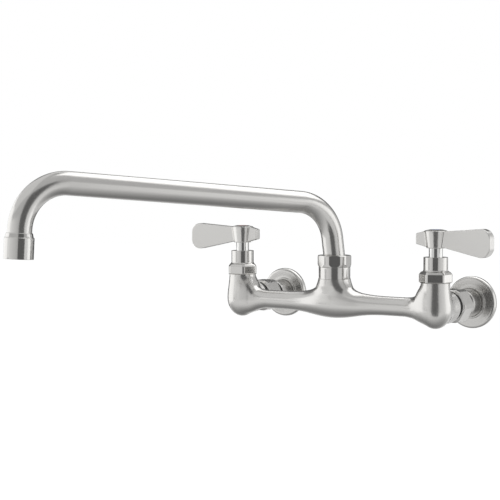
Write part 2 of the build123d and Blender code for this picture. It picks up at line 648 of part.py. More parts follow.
def above_joint(piece):
    """Keep only what lies above the face that the tube stands on."""
    room = 2 * TUBE_DIA
    below = Box(room, room, room, align=(Align.CENTER, Align.CENTER, Align.MAX))
    return piece - Pos(0, 0, TUBE_START) * below


def spout_ring_heights():
    """Where the two sealing rings lie on the ferrule."""
    return [FERRULE_LOW + SPOUT_RING_LOW, FERRULE_LOW + SPOUT_RING_LOW + SPOUT_RING_PITCH]


def spout_ferrule():
    """The ferrule brazed into the spout tube, with its shoulder and sealing grooves."""
    body = rod(FERRULE_DIA, FERRULE_LOW, SHOULDER_LOW)
    body += rod(FERRULE_SHOULDER_DIA, SHOULDER_LOW, TUBE_START)
    body += above_joint(leaning(rod(TUBE_BORE_DIA - 2 * RUNNING_GAP, -FERRULE_PILOT, FERRULE_PILOT)))
    for height in spout_ring_heights():
        body -= groove(FERRULE_DIA, SPOUT_RING_WIRE, height)
    body -= rod(FERRULE_BORE_DIA, FERRULE_LOW, TUBE_START)
    return body - above_joint(leaning(rod(PILOT_BORE_DIA, -FERRULE_PILOT, FERRULE_PILOT + EDGE)))


# ---------------------------------------------------------------- spout
def swung(piece):
    """Turn a piece made with the spout along +X to where the spout hangs."""
    return at_spout(Rot(0, 0, -90 - SPOUT_SWING) * piece)


def spout_tube():
    """The bent tube: up the leaning leg, along the climbing run and down to the outlet."""
    low = TUBE_DIA * math.tan(LEG_LEAN)
    start = (-low * math.sin(LEG_LEAN), 0, TUBE_START - low * math.cos(LEG_LEAN))
    end = (
        RUN_END_REACH + TUBE_DROP * math.sin(LEAN), 0,
        RUN_END_HEIGHT - TUBE_DROP * math.cos(LEAN),
    )
    corners = [start, (RUN_START_REACH, 0, RUN_START_HEIGHT), (RUN_END_REACH, 0, RUN_END_HEIGHT), end]
    path = FilletPolyline(*corners, radius=[BASE_BEND, OUTLET_BEND])
    section = leaning(Pos(0, 0, -low) * (Circle(TUBE_DIA / 2) - Circle(TUBE_BORE_DIA / 2)))
    return swung(above_joint(sweep(section, path)))


def at_outlet(piece):
    """Move a piece made on the Z axis, with heights above the mouth, to the leaning outlet."""
    return swung(Pos(SPOUT_REACH, 0, MOUTH_HEIGHT) * Rot(0, -OUTLET_LEAN, 0) * piece)


def aerator_housing():
    """The bevelled sleeve screwed on the tube's end, with a lip round its mouth."""
    radius = AERATOR_DIA / 2
    sleeve = turned(
        (0, 0), (radius - EDGE, 0), (radius, EDGE), (radius, AERATOR_LENGTH - AERATOR_BEVEL),
        (radius - AERATOR_BEVEL, AERATOR_LENGTH), (0, AERATOR_LENGTH),
    )
    sleeve -= rod(TUBE_DIA + 2 * RUNNING_GAP, AERATOR_LIP, AERATOR_LENGTH)
    return sleeve - rod(AERATOR_MOUTH_DIA, 0, AERATOR_LIP)


def pierced(disc, hole_dia, low, high):
    """Pierce a disc with rings of round holes."""
    for circle in range(JET_RINGS + 1):
        holes = max(1, 6 * circle)
        for hole in range(holes):
            turn = Rot(0, 0, 360 * hole / holes)
            disc -= turn * Pos(circle * JET_STEP, 0, 0) * rod(hole_dia, low, high)
    return disc


def outlet_screen():
    """The screen that shows in the mouth, resting on its lip."""
    top = AERATOR_LIP + SCREEN_THICK
    return pierced(rod(TUBE_DIA, AERATOR_LIP, top), SCREEN_HOLE_DIA, AERATOR_LIP, top)


def aerator_core():
    """The plastic core that mixes air in, above the screen."""
    low = AERATOR_LIP + SCREEN_THICK
    high = AERATOR_LENGTH - AERATOR_SOCKET - AERATOR_WASHER
    return pierced(rod(TUBE_DIA, low, high), JET_DIA, low, high)


def aerator_washer():
    """The rubber washer between the core and the tube's end."""
    top = AERATOR_LENGTH - AERATOR_SOCKET
    return ring(TUBE_DIA, TUBE_BORE_DIA - 2 * EDGE, top - AERATOR_WASHER, top)


# ---------------------------------------------------------------- the set of pieces
def both_sides():
    """Every piece that each valve and inlet has, by its name."""
    pieces = {}
    for side in SIDES:
        inlet = {
            "wall_flange": wall_flange(), "inlet_shank": inlet_shank(),
            "coupling_nut": coupling_nut(), "coupling_washer": coupling_washer(),
        }
        valve = {
            "bonnet": Rot(0, 0, BONNET_TURN[side]) * bonnet(), "cartridge_shell": cartridge_shell(),
            "seat_seal": seat_seal(), "fixed_disc": fixed_disc(), "moving_disc": moving_disc(),
            "stem": stem(), "handle": handle(side), "handle_screw": handle_screw(),
            "index_cap": index_cap(), "index_disc": index_disc(),
            "stem_rings": Compound(children=seal_rings(STEM_DIA, STEM_RING_WIRE, stem_ring_heights())),
        }
        pieces.update({f"{side}_{name}": at_inlet(side, piece) for name, piece in inlet.items()})
        pieces.update({f"{side}_{name}": at_valve(side, piece) for name, piece in valve.items()})
    return pieces


def main():
    """Make every piece and write each to its own file."""
    rings = Compound(children=seal_rings(FERRULE_DIA, SPOUT_RING_WIRE, spout_ring_heights()))
    pieces = {
        "cross_body": cross_body(),
        "neck_collar": at_spout(neck_collar()),
        "spout_nut": at_spout(spout_nut()),
        "slip_ring": at_spout(slip_ring()),
        "spout_ferrule": swung(spout_ferrule()),
        "spout_rings": at_spout(rings),
        "spout_tube": spout_tube(),
        "aerator_housing": at_outlet(aerator_housing()),
        "aerator_washer": at_outlet(aerator_washer()),
        "aerator_core": at_outlet(aerator_core()),
        "outlet_screen": at_outlet(outlet_screen()),
    }
    pieces.update(both_sides())
    os.makedirs("parts", exist_ok=True)
    for name, piece in pieces.items():
        export_step(piece, f"parts/{name}.step")
        print(name, "volume", round(piece.volume, 1))


main()
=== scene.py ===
# %% [markdown]
# # A wall faucet in brushed metal
# Two lever valves stand on a cast cross body, a long tube spout swings from its middle, and two flanged
# inlets hold it on the wall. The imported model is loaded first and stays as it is: each piece below either
# gets a finish, or is stood for by a finer mesh in the same place. All sizes are in millimetres until a
# mesh is made, and X runs along the wall, Y into it and Z up.

# %% Load the frame
import itertools
import json
import math
from typing import NamedTuple
import bmesh
import bpy
import numpy as np
from mathutils import Matrix, Vector


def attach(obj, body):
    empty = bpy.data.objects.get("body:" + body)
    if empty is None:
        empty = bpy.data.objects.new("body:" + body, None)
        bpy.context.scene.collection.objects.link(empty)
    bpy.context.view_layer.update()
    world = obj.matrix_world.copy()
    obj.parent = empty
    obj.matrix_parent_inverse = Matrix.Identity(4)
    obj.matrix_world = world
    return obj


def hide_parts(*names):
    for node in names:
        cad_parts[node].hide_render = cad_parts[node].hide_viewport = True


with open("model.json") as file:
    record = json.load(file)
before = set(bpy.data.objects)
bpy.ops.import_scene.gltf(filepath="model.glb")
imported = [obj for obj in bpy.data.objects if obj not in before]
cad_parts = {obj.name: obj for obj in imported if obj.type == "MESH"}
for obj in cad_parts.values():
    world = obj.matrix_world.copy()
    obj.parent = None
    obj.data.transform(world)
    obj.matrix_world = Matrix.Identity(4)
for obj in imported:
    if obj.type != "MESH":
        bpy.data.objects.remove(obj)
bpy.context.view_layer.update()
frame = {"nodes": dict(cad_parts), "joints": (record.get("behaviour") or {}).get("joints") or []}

MM = 0.001
nodes = frame["nodes"]
SIDES = {"left": -1, "right": 1}
joint_at = {joint["name"]: Vector(joint["pos_m"]) / MM for joint in frame["joints"]}
VALVE_X = joint_at["right_valve_turn"].x
AXIS_Y = joint_at["spout_swing"].y
print("nodes", len(nodes), "valves at", round(VALVE_X, 2), "axes from the wall", round(-AXIS_Y, 2))

# %% [markdown]
# ## Camera
# The photograph is taken from the front right, almost level, with a moderate telephoto view. A camera
# could be aimed at a target, but its place and turn were found by matching edges, so they are written down.

# %% Camera
CAMERA_TURN = 33.95          # degrees round the upright axis
CAMERA_DIP = 2.96            # degrees below level
CAMERA_PLACE = (0.5885, -1.09083, 0.10883)       # metres
SENSOR_WIDTH, FOCAL_LENGTH = 36, 92.25
camera_data = bpy.data.cameras.new("camera")
camera_data.sensor_width = SENSOR_WIDTH
camera_data.lens = FOCAL_LENGTH
camera = bpy.data.objects.new("camera", camera_data)
camera.location = CAMERA_PLACE
camera.rotation_euler = (math.radians(90 - CAMERA_DIP), 0, math.radians(CAMERA_TURN))
bpy.context.scene.collection.objects.link(camera)
bpy.context.scene.camera = camera
print("camera at", tuple(camera.location))

# %% [markdown]
# ## Studio
# Brushed metal has hardly any colour of its own: it shows the room. A product studio gives it a white
# room, a skylight that is brighter still, a dark flag in front that draws the long dark bands, a dark
# backdrop for the thin outlines, and a floor that darkens under the piece. Each card carries its
# brightness on its own corners, so one material serves them all and a card can fade across. The cards are
# seen by reflections alone, so they shade nothing, and the lamp stays plain.

# %% Studio helpers
RIGHT = Vector((math.cos(math.radians(CAMERA_TURN)), math.sin(math.radians(CAMERA_TURN)), 0))
TOWARDS = Vector((math.sin(math.radians(CAMERA_TURN)), -math.cos(math.radians(CAMERA_TURN)), 0))
UP = Vector((0, 0, 1))
SUBJECT = Vector((0, AXIS_Y, 0)) * MM


def in_studio(right, towards, up):
    """A place in metres from the faucet's middle, as the camera sees it."""
    return SUBJECT + RIGHT * right + TOWARDS * towards + UP * up


def build_glow():
    """A card's light: as bright as the number on its corners says, and 1 is white."""
    material = bpy.data.materials.new("studio card")
    material.use_nodes = True
    tree = material.node_tree
    tree.nodes.clear()
    written = tree.nodes.new("ShaderNodeAttribute")
    written.attribute_name = "level"
    glow = tree.nodes.new("ShaderNodeEmission")
    tree.links.new(written.outputs["Fac"], glow.inputs["Strength"])
    output = tree.nodes.new("ShaderNodeOutputMaterial")
    tree.links.new(glow.outputs["Emission"], output.inputs["Surface"])
    return material


GLOW = build_glow()
print("light of the cards:", GLOW.name)


# %% Flat and curved cards
def card(name, points, faces, levels):
    """A card that only shiny surfaces see."""
    mesh = bpy.data.meshes.new(name)
    mesh.from_pydata([tuple(point) for point in points], [], faces)
    mesh.attributes.new("level", "FLOAT", "POINT").data.foreach_set("value", levels)
    mesh.materials.append(GLOW)
    made = bpy.data.objects.new(name, mesh)
    bpy.context.scene.collection.objects.link(made)
    made.visible_camera = False
    made.visible_diffuse = False
    made.visible_transmission = False
    made.visible_shadow = False


def panel(name, centre, across, along, level):
    """A flat card, given by its middle and its two sides."""
    corners = [centre + across * a / 2 + along * b / 2 for a, b in ((-1, -1), (1, -1), (1, 1), (-1, 1))]
    card(name, corners, [(0, 1, 2, 3)], [level] * 4)


WALL_STEPS = 10              # flat strips in a curved card


def wall(name, turns, distance, low, high, levels):
    """A curved card round the faucet: its ends, in degrees to the right of the camera, and their levels."""
    points, faces, glow = [], [], []
    for step in range(WALL_STEPS + 1):
        share = step / WALL_STEPS
        turn = math.radians(turns[0] + (turns[1] - turns[0]) * share)
        for height in (low, high):
            points.append(in_studio(distance * math.sin(turn), distance * math.cos(turn), height))
            glow.append(levels[0] + (levels[1] - levels[0]) * share)
    for step in range(WALL_STEPS):
        faces.append((2 * step, 2 * step + 2, 2 * step + 3, 2 * step + 1))
    card(name, points, faces, glow)


print("a curved card has", WALL_STEPS, "strips")


# %% Sums inside a node tree
def feed(tree, value, socket):
    """Gives a socket a plain number, or a link from another node's output."""
    if isinstance(value, (int, float)):
        socket.default_value = value
    else:
        tree.links.new(value, socket)


def math_node(tree, operation, *values, clamp=False):
    """A Math node fed by outputs or plain numbers; returns its output."""
    node = tree.nodes.new("ShaderNodeMath")
    node.operation = operation
    node.use_clamp = clamp
    for index, value in enumerate(values):
        feed(tree, value, node.inputs[index])
    return node.outputs[0]


# %% World
MATT_LIGHT, SHINY_LIGHT = 0.62, 1.0      # what lights matt surfaces, and what the eye and the metal see
world = bpy.data.worlds.new("white room")
bpy.context.scene.world = world
world.use_nodes = True
tree = world.node_tree
background = tree.nodes["Background"]
background.inputs["Color"].default_value = (1, 1, 1, 1)
rays = tree.nodes.new("ShaderNodeLightPath")
seen = math_node(tree, "MAXIMUM", rays.outputs["Is Camera Ray"], rays.outputs["Is Glossy Ray"])
seen_through = math_node(tree, "MAXIMUM", seen, rays.outputs["Is Transmission Ray"])
brightness = tree.nodes.new("ShaderNodeMapRange")
brightness.inputs["To Min"].default_value = MATT_LIGHT
brightness.inputs["To Max"].default_value = SHINY_LIGHT
tree.links.new(seen_through, brightness.inputs["Value"])
tree.links.new(brightness.outputs["Result"], background.inputs["Strength"])
bpy.context.scene.view_settings.view_transform = "Standard"
print("world level for matt surfaces", MATT_LIGHT)

# %% Lamp
SOFTBOX_SIDE, SOFTBOX_WATTS = 1.6, 9.0
lamp_data = bpy.data.lights.new("overhead softbox", "AREA")
lamp_data.shape = "RECTANGLE"
lamp_data.size = SOFTBOX_SIDE
lamp_data.size_y = SOFTBOX_SIDE
lamp_data.energy = SOFTBOX_WATTS
lamp = bpy.data.objects.new("overhead softbox", lamp_data)
lamp.location = in_studio(0.15, 0.25, 1.5)
bpy.context.scene.collection.objects.link(lamp)
print("lamp", SOFTBOX_WATTS, "W at", [round(value, 2) for value in lamp.location])

# %% Cards round the faucet
panel("ceiling", in_studio(0.0, 0.0, 1.0), RIGHT * 6.6, TOWARDS * 6.6, 0.58)
panel("skylight", in_studio(0.56, -0.56, 0.97), RIGHT * 1.33, TOWARDS * 1.32, 1.75)
panel("skylight edge", in_studio(-0.30, -0.92, 0.97), RIGHT * 0.38, TOWARDS * 0.60, 1.15)
panel("left ceiling", in_studio(-1.28, -0.5, 0.98), RIGHT * 1.85, TOWARDS * 2.8, 0.80)
panel("front flag", in_studio(-0.03, 0.51, 0.05), RIGHT * 0.44, UP * 0.75, 0.13)
wall("front left", (-64, -10), 1.3, -0.35, 0.40, (0.90, 0.56))
wall("front right", (10, 62), 1.3, -0.35, 0.40, (0.60, 0.95))
wall("left card", (-132, -80), 1.2, -0.35, 0.55, (1.45, 1.35))
wall("right card", (66, 107), 1.2, -0.35, 0.55, (1.25, 1.55))
wall("right return", (107, 132), 1.15, -0.35, 0.55, (0.70, 0.60))
wall("backdrop", (140, 220), 1.0, -0.30, 0.36, (0.12, 0.12))
wall("high backdrop", (135, 225), 1.0, 0.36, 0.84, (0.18, 0.18))

# %% Darker floor under the faucet
SHADE_LEVEL, SHADE_RIM, SHADE_FAR = 0.24, 0.84, 1.0   # in the middle, at the dark patch's edge, and far away
SHADE_MIDDLE = (-0.05, -0.14)        # to the right and towards the camera, in metres
SHADE_REACH = (1.60, 0.69)           # half the patch's length and width
SHADE_TURN = math.radians(26)        # its right end comes towards the camera
SHADE_HEIGHT, SHADE_SPAN, SHADE_CELLS = -0.40, 2.4, 60


def fade(value):
    """A share from 0 to 1 that starts and ends gently."""
    share = min(max(value, 0.0), 1.0)
    return share * share * (3 - 2 * share)


points, faces, glow = [], [], []
for i, j in itertools.product(range(SHADE_CELLS + 1), repeat=2):
    right = (i / SHADE_CELLS * 2 - 1) * SHADE_SPAN
    towards = (j / SHADE_CELLS * 2 - 1) * SHADE_SPAN
    aside, ahead = right - SHADE_MIDDLE[0], towards - SHADE_MIDDLE[1]
    along = aside * math.cos(SHADE_TURN) + ahead * math.sin(SHADE_TURN)
    across = ahead * math.cos(SHADE_TURN) - aside * math.sin(SHADE_TURN)
    away = math.hypot(along / SHADE_REACH[0], across / SHADE_REACH[1])
    points.append(in_studio(right, towards, SHADE_HEIGHT))
    under = (SHADE_RIM - SHADE_LEVEL) * fade(away)
    beyond = (SHADE_FAR - SHADE_RIM) * fade(away / 2 - 0.5)
    glow.append(SHADE_LEVEL + under + beyond)
for i, j in itertools.product(range(SHADE_CELLS), repeat=2):
    corner = i * (SHADE_CELLS + 1) + j
    faces.append((corner, corner + SHADE_CELLS + 1, corner + SHADE_CELLS + 2, corner + 1))
card("floor shade", points, faces, glow)

# %% Floor
FLOOR_HEIGHT, FLOOR_SPAN = -0.45, 8.0
FLOOR_LIFT = 0.45            # the light that the camera sees in it, so that it comes out white
floor_mesh = bpy.data.meshes.new("floor")
floor_mesh.from_pydata(
    [(x * FLOOR_SPAN, y * FLOOR_SPAN, FLOOR_HEIGHT) for x, y in ((-1, -1), (1, -1), (1, 1), (-1, 1))],
    [], [(0, 1, 2, 3)],
)
floor = bpy.data.objects.new("floor", floor_mesh)
bpy.context.scene.collection.objects.link(floor)
floor_material = bpy.data.materials.new("pale floor")
floor_material.use_nodes = True
tree = floor_material.node_tree
pale = tree.nodes["Principled BSDF"]
pale.inputs["Base Color"].default_value = (0.92, 0.92, 0.92, 1)
pale.inputs["Roughness"].default_value = 0.9
pale.inputs["Specular IOR Level"].default_value = 0.0
pale.inputs["Emission Color"].default_value = (1, 1, 1, 1)
rays = tree.nodes.new("ShaderNodeLightPath")
lift = math_node(tree, "MULTIPLY", rays.outputs["Is Camera Ray"], FLOOR_LIFT)
tree.links.new(lift, pale.inputs["Emission Strength"])
floor_mesh.materials.append(floor_material)
print("floor at", FLOOR_HEIGHT)

# %% [markdown]
# ## Finishes
# Nearly every metal piece here is the same nickel-coloured steel, and what tells them apart is how they were
# finished: cast and blasted, drawn and brushed, turned on a lathe, or milled bright. An image texture could
# hold such marks, but it would need unwrapping and has one fixed scale. Noise read from the piece's own
# coordinates is endless and stays put when the piece moves. Three effects are shared, so each is a node
# group with its own inputs: lines round an axis, grain along a direction, and the soft cloudiness that
# handling leaves.

# %% Helpers for shared effects
def new_group(name, inputs, outputs):
    """An empty shader group with named sockets, and its two end nodes."""
    group = bpy.data.node_groups.new(name, "ShaderNodeTree")
    for socket, kind, value in inputs:
        made = group.interface.new_socket(socket, in_out="INPUT", socket_type=kind)
        if value is not None:
            made.default_value = value
    for socket, kind in outputs:
        group.interface.new_socket(socket, in_out="OUTPUT", socket_type=kind)
    return group, group.nodes.new("NodeGroupInput"), group.nodes.new("NodeGroupOutput")


def vector_node(tree, x=0.0, y=0.0, z=0.0):
    """A vector made from three outputs or plain numbers."""
    node = tree.nodes.new("ShaderNodeCombineXYZ")
    for axis, value in zip("XYZ", (x, y, z)):
        feed(tree, value, node.inputs[axis])
    return node.outputs["Vector"]


def mixed(tree, first, second, share):
    """Two values mixed, with a given share of the first."""
    kept = math_node(tree, "MULTIPLY", first, share)
    return math_node(tree, "ADD", kept, math_node(tree, "MULTIPLY", second, 1 - share))


def noise_node(tree, vector, scale, detail=2.0, roughness=0.5):
    """A noise texture read at a vector; returns its grey output."""
    node = tree.nodes.new("ShaderNodeTexNoise")
    node.inputs["Detail"].default_value = detail
    node.inputs["Roughness"].default_value = roughness
    feed(tree, scale, node.inputs["Scale"])
    tree.links.new(vector, node.inputs["Vector"])
    return node.outputs["Fac"]


# %% Lines that a lathe leaves
LINE_WANDER = 0.0009         # how little the lines change on their way round
COARSE_LINES, FINE_LINES_SHARE = 0.33, 0.6       # how coarse the second set is, and how strong the first


def build_turned_lines():
    """Grooves round the local Z axis: they change with the radius and the height, hardly with the angle."""
    group, source, result = new_group(
        "turned lines",
        [("Vector", "NodeSocketVector", None), ("Fineness", "NodeSocketFloat", 900.0)],
        [("Lines", "NodeSocketFloat"), ("Height", "NodeSocketFloat")],
    )
    split = group.nodes.new("ShaderNodeSeparateXYZ")
    group.links.new(source.outputs["Vector"], split.inputs[0])
    across = math_node(group, "MULTIPLY", split.outputs["X"], split.outputs["X"])
    along = math_node(group, "MULTIPLY", split.outputs["Y"], split.outputs["Y"])
    radius = math_node(group, "SQRT", math_node(group, "ADD", across, along))
    angle = math_node(group, "ARCTAN2", split.outputs["Y"], split.outputs["X"])
    where = vector_node(group, radius, math_node(group, "MULTIPLY", angle, LINE_WANDER), split.outputs["Z"])
    fine = noise_node(group, where, source.outputs["Fineness"], 3.0, 0.6)
    coarse_scale = math_node(group, "MULTIPLY", source.outputs["Fineness"], COARSE_LINES)
    coarse = noise_node(group, where, coarse_scale, 1.0, 0.5)
    lines = mixed(group, fine, coarse, FINE_LINES_SHARE)
    group.links.new(lines, result.inputs["Lines"])
    group.links.new(lines, result.inputs["Height"])
    return group


TURNED_LINES = build_turned_lines()
print("shared effect:", TURNED_LINES.name)


# %% Grain that brushing or blasting leaves
COARSE_GRAIN, FINE_GRAIN_SHARE = 0.3, 0.55


def build_grain():
    """Fine marks stretched along the local X axis by a given amount; a stretch of 1 is blasted grain."""
    group, source, result = new_group(
        "metal grain",
        [("Vector", "NodeSocketVector", None), ("Fineness", "NodeSocketFloat", 1400.0),
         ("Stretch", "NodeSocketFloat", 1.0)],
        [("Grain", "NodeSocketFloat"), ("Height", "NodeSocketFloat")],
    )
    split = group.nodes.new("ShaderNodeSeparateXYZ")
    group.links.new(source.outputs["Vector"], split.inputs[0])
    drawn = math_node(group, "DIVIDE", split.outputs["X"], source.outputs["Stretch"])
    where = vector_node(group, drawn, split.outputs["Y"], split.outputs["Z"])
    fine = noise_node(group, where, source.outputs["Fineness"], 3.0, 0.65)
    coarse_scale = math_node(group, "MULTIPLY", source.outputs["Fineness"], COARSE_GRAIN)
    coarse = noise_node(group, where, coarse_scale, 2.0, 0.5)
    grain = mixed(group, fine, coarse, FINE_GRAIN_SHARE)
    group.links.new(grain, result.inputs["Grain"])
    group.links.new(grain, result.inputs["Height"])
    return group


GRAIN = build_grain()
print("shared effect:", GRAIN.name)


# %% Cloudiness from handling
CLOUDS, SMUDGES, CLOUD_SHARE = 38.0, 150.0, 0.65         # their scales, and how strong the clouds are
MARK_SHARE = 0.6             # how much the grooves or the grain change the sheen
ROUGHNESS_SWING, SHADE_SWING = 2.0, 1.2


def build_handling():
    """Slow changes of sheen over the piece, a few centimetres across, with some smaller smudges."""
    group, source, result = new_group(
        "handled metal",
        [("Vector", "NodeSocketVector", None), ("Roughness", "NodeSocketFloat", 0.25),
         ("Variation", "NodeSocketFloat", 0.05), ("Marks", "NodeSocketFloat", 0.5)],
        [("Roughness", "NodeSocketFloat"), ("Shade", "NodeSocketFloat")],
    )
    clouds = noise_node(group, source.outputs["Vector"], CLOUDS, 2.0, 0.5)
    smudges = noise_node(group, source.outputs["Vector"], SMUDGES, 3.0, 0.6)
    centred = math_node(group, "SUBTRACT", mixed(group, clouds, smudges, CLOUD_SHARE), 0.5)
    marks = math_node(group, "SUBTRACT", source.outputs["Marks"], 0.5)
    both = math_node(group, "ADD", centred, math_node(group, "MULTIPLY", marks, MARK_SHARE))
    change = math_node(group, "MULTIPLY", both, source.outputs["Variation"])
    wider = math_node(group, "MULTIPLY", change, ROUGHNESS_SWING)
    rough = math_node(group, "ADD", source.outputs["Roughness"], wider, clamp=True)
    darker = math_node(group, "MULTIPLY", math_node(group, "ABSOLUTE", change), SHADE_SWING)
    shade = math_node(group, "SUBTRACT", 1.0, darker)
    group.links.new(rough, result.inputs["Roughness"])
    group.links.new(shade, result.inputs["Shade"])
    return group


HANDLING = build_handling()
print("shared effect:", HANDLING.name)

# %% [markdown]
# ## Materials
# The real pieces differ in sheen and in the marks of their making. Each could have a tree of its own, but
# then one change would have to be made twenty times. So one function makes every metal from the shared
# groups, and another makes rubber, plastic, ceramic and enamel. A metal is given where its pattern is
# centred, because a lathe's lines run round the piece's own axis, and each piece's mesh lies at its real
# place in the faucet.

# %% One shader for every finish
def new_material(name, effect, fineness):
    """A material with a plain shader and one of the shared effects beside it."""
    material = bpy.data.materials.new(name)
    material.use_nodes = True
    pattern = material.node_tree.nodes.new("ShaderNodeGroup")
    pattern.node_tree = effect
    pattern.inputs["Fineness"].default_value = fineness
    return material, pattern


def wear(material, pattern, place, colour, roughness, variation, depth):
    """Leads a pattern and the handling, both read at a place, into the material's shader."""
    tree = material.node_tree
    shader = tree.nodes["Principled BSDF"]
    tree.links.new(place, pattern.inputs["Vector"])
    handling = tree.nodes.new("ShaderNodeGroup")
    handling.node_tree = HANDLING
    handling.inputs["Roughness"].default_value = roughness
    handling.inputs["Variation"].default_value = variation
    tree.links.new(place, handling.inputs["Vector"])
    tree.links.new(pattern.outputs[0], handling.inputs["Marks"])
    tree.links.new(handling.outputs["Roughness"], shader.inputs["Roughness"])
    tint = tree.nodes.new("ShaderNodeMix")
    tint.data_type = "RGBA"
    tint.blend_type = "MULTIPLY"
    tint.inputs["Factor"].default_value = 1.0
    tint.inputs["A"].default_value = (*colour, 1)
    tree.links.new(handling.outputs["Shade"], tint.inputs["B"])
    tree.links.new(tint.outputs["Result"], shader.inputs["Base Color"])
    bump = tree.nodes.new("ShaderNodeBump")
    bump.inputs["Distance"].default_value = depth * MM
    tree.links.new(pattern.outputs["Height"], bump.inputs["Height"])
    tree.links.new(bump.outputs["Normal"], shader.inputs["Normal"])


# %% Metal
STEEL = (0.630, 0.622, 0.606)        # warm grey of brushed nickel and steel


def metal(name, colour, roughness, variation, marks, fineness, depth, centre=(0, 0, 0), turn=(0, 0, 0),
          stretch=1.0, path=None):
    """A metal with lathe lines (marks 'turned') or with grain along a direction (marks 'grain').

    The marks follow the piece's place, or an attribute that the piece carries along its path.
    """
    material, pattern = new_material(name, TURNED_LINES if marks == "turned" else GRAIN, fineness)
    if marks == "grain":
        pattern.inputs["Stretch"].default_value = stretch
    tree = material.node_tree
    tree.nodes["Principled BSDF"].inputs["Metallic"].default_value = 1.0
    place = tree.nodes.new("ShaderNodeAttribute" if path else "ShaderNodeTexCoord")
    if path:
        place.attribute_name = path
    centred = tree.nodes.new("ShaderNodeMapping")
    centred.vector_type = "TEXTURE"
    centred.inputs["Location"].default_value = [value * MM for value in centre]
    centred.inputs["Rotation"].default_value = [math.radians(value) for value in turn]
    tree.links.new(place.outputs["Vector" if path else "Object"], centred.inputs["Vector"])
    wear(material, pattern, centred.outputs["Vector"], colour, roughness, variation, depth)
    return material


# %% Matt materials
MATT_VARIATION = 0.06


def matt(name, colour, roughness, fineness=900.0, depth=0.02):
    """A moulded or ground material that isn't metal: plastic, rubber, ceramic or enamel."""
    material, pattern = new_material(name, GRAIN, fineness)
    place = material.node_tree.nodes.new("ShaderNodeTexCoord")
    wear(material, pattern, place.outputs["Object"], colour, roughness, MATT_VARIATION, depth)
    return material


# %% Make the finishes
SPOUT_AXIS = (0, AXIS_Y, 0)
FACING_WALL = (90, 0, 0)             # degrees: an inlet's axis lies level
CASTING = metal("satin casting", STEEL, 0.23, 0.05, "grain", 700.0, 0.03)
BOSS_SKIN = metal("rough casting skin", (0.58, 0.573, 0.558), 0.30, 0.16, "grain", 520.0, 0.11)
# near-black colour is painted shade: it stands for the shadow in the gaps round the inlet nuts, where the
# threads lie
PAINTED_SHADE_THREAD = metal("thread in painted shade", (0.05, 0.05, 0.05), 0.5, 0.05, "grain", 700.0, 0.03)
TUBE = metal("satin tube", STEEL, 0.215, 0.04, "grain", 900.0, 0.012, stretch=6.0, path="brushed")
LEVER = metal("satin lever", (0.665, 0.657, 0.640), 0.22, 0.02, "grain", 900.0, 0.006, stretch=3.0)
RUBBER = matt("black rubber", (0.025, 0.025, 0.025), 0.6)
BRASS = metal("turned brass", (0.78, 0.57, 0.24), 0.25, 0.05, "turned", 900.0, 0.01, SPOUT_AXIS)
CERAMIC = matt("white ceramic", (0.82, 0.81, 0.78), 0.22)
SLIP_PLASTIC = matt("slip plastic", (0.76, 0.75, 0.70), 0.4)
AERATOR_PLASTIC = matt("aerator plastic", (0.72, 0.72, 0.69), 0.45)
INDEX = {
    "left": matt("hot index", (0.50, 0.035, 0.03), 0.3),
    "right": matt("cold index", (0.035, 0.10, 0.40), 0.3),
}
print("materials", len(bpy.data.materials))

# %% Finish of each piece
TURNED_SPOUT = metal("turned collar", STEEL, 0.16, 0.04, "turned", 700.0, 0.02, SPOUT_AXIS)
BRIGHT_SPOUT = metal("bright spout nut", STEEL, 0.13, 0.03, "turned", 700.0, 0.01, SPOUT_AXIS)
SCREEN = metal("screen steel", (0.55, 0.55, 0.55), 0.3, 0.05, "grain", 900.0, 0.01)
FINISH = {
    "cross_body": CASTING, "neck_collar": TURNED_SPOUT, "spout_nut": BRIGHT_SPOUT, "slip_ring": SLIP_PLASTIC,
    "spout_ferrule": BRASS, "spout_rings": RUBBER, "spout_tube": TUBE, "aerator_washer": RUBBER,
    "aerator_core": AERATOR_PLASTIC, "outlet_screen": SCREEN,
}
for side, sign in SIDES.items():
    valve_axis = (sign * VALVE_X, AXIS_Y, 0)
    inlet_axis = (sign * VALVE_X, 0, 0)
    inlet = metal(f"{side} turned inlet", STEEL, 0.21, 0.05, "turned", 700.0, 0.03, inlet_axis, FACING_WALL)
    speckled = metal(f"{side} speckled nut", STEEL, 0.20, 0.10, "grain", 620.0, 0.10)
    bright = metal(f"{side} bright valve", STEEL, 0.13, 0.03, "turned", 700.0, 0.015, valve_axis)
    polished = metal(
        f"{side} polished stem", (0.70, 0.70, 0.69), 0.08, 0.02, "turned", 700.0, 0.004, valve_axis,
    )
    cap = metal(f"{side} turned cap", STEEL, 0.2, 0.04, "turned", 900.0, 0.01, valve_axis)
    FINISH |= {
        f"{side}_wall_flange": inlet, f"{side}_inlet_shank": inlet, f"{side}_coupling_nut": speckled,
        f"{side}_coupling_washer": RUBBER, f"{side}_seat_seal": RUBBER, f"{side}_stem_rings": RUBBER,
        f"{side}_fixed_disc": CERAMIC, f"{side}_moving_disc": CERAMIC, f"{side}_cartridge_shell": BRASS,
        f"{side}_bonnet": bright, f"{side}_stem": polished, f"{side}_handle": LEVER,
        f"{side}_handle_screw": SCREEN, f"{side}_index_cap": cap, f"{side}_index_disc": INDEX[side],
    }
print("finishes for", len(FINISH), "pieces")

# %% [markdown]
# ## Shapes that flow: the field way
# A casting has no edge where two of its forms meet, because the metal was poured round a smooth pattern.
# Joined cylinders with bevels could come near, but fillets that grow and fade are hard to bevel. A field is
# easier: a function that is below zero inside the metal and above it outside. Two fields join with a
# fillet by a soft minimum, and the surface is then drawn where the field is zero, on a fine grid.

# %% Field helpers
def soft_union(first, second, reach):
    """Joins two fields with a fillet about as wide as the reach."""
    share = np.clip(0.5 + 0.5 * (second - first) / reach, 0, 1)
    return second + (first - second) * share - reach * share * (1 - share)


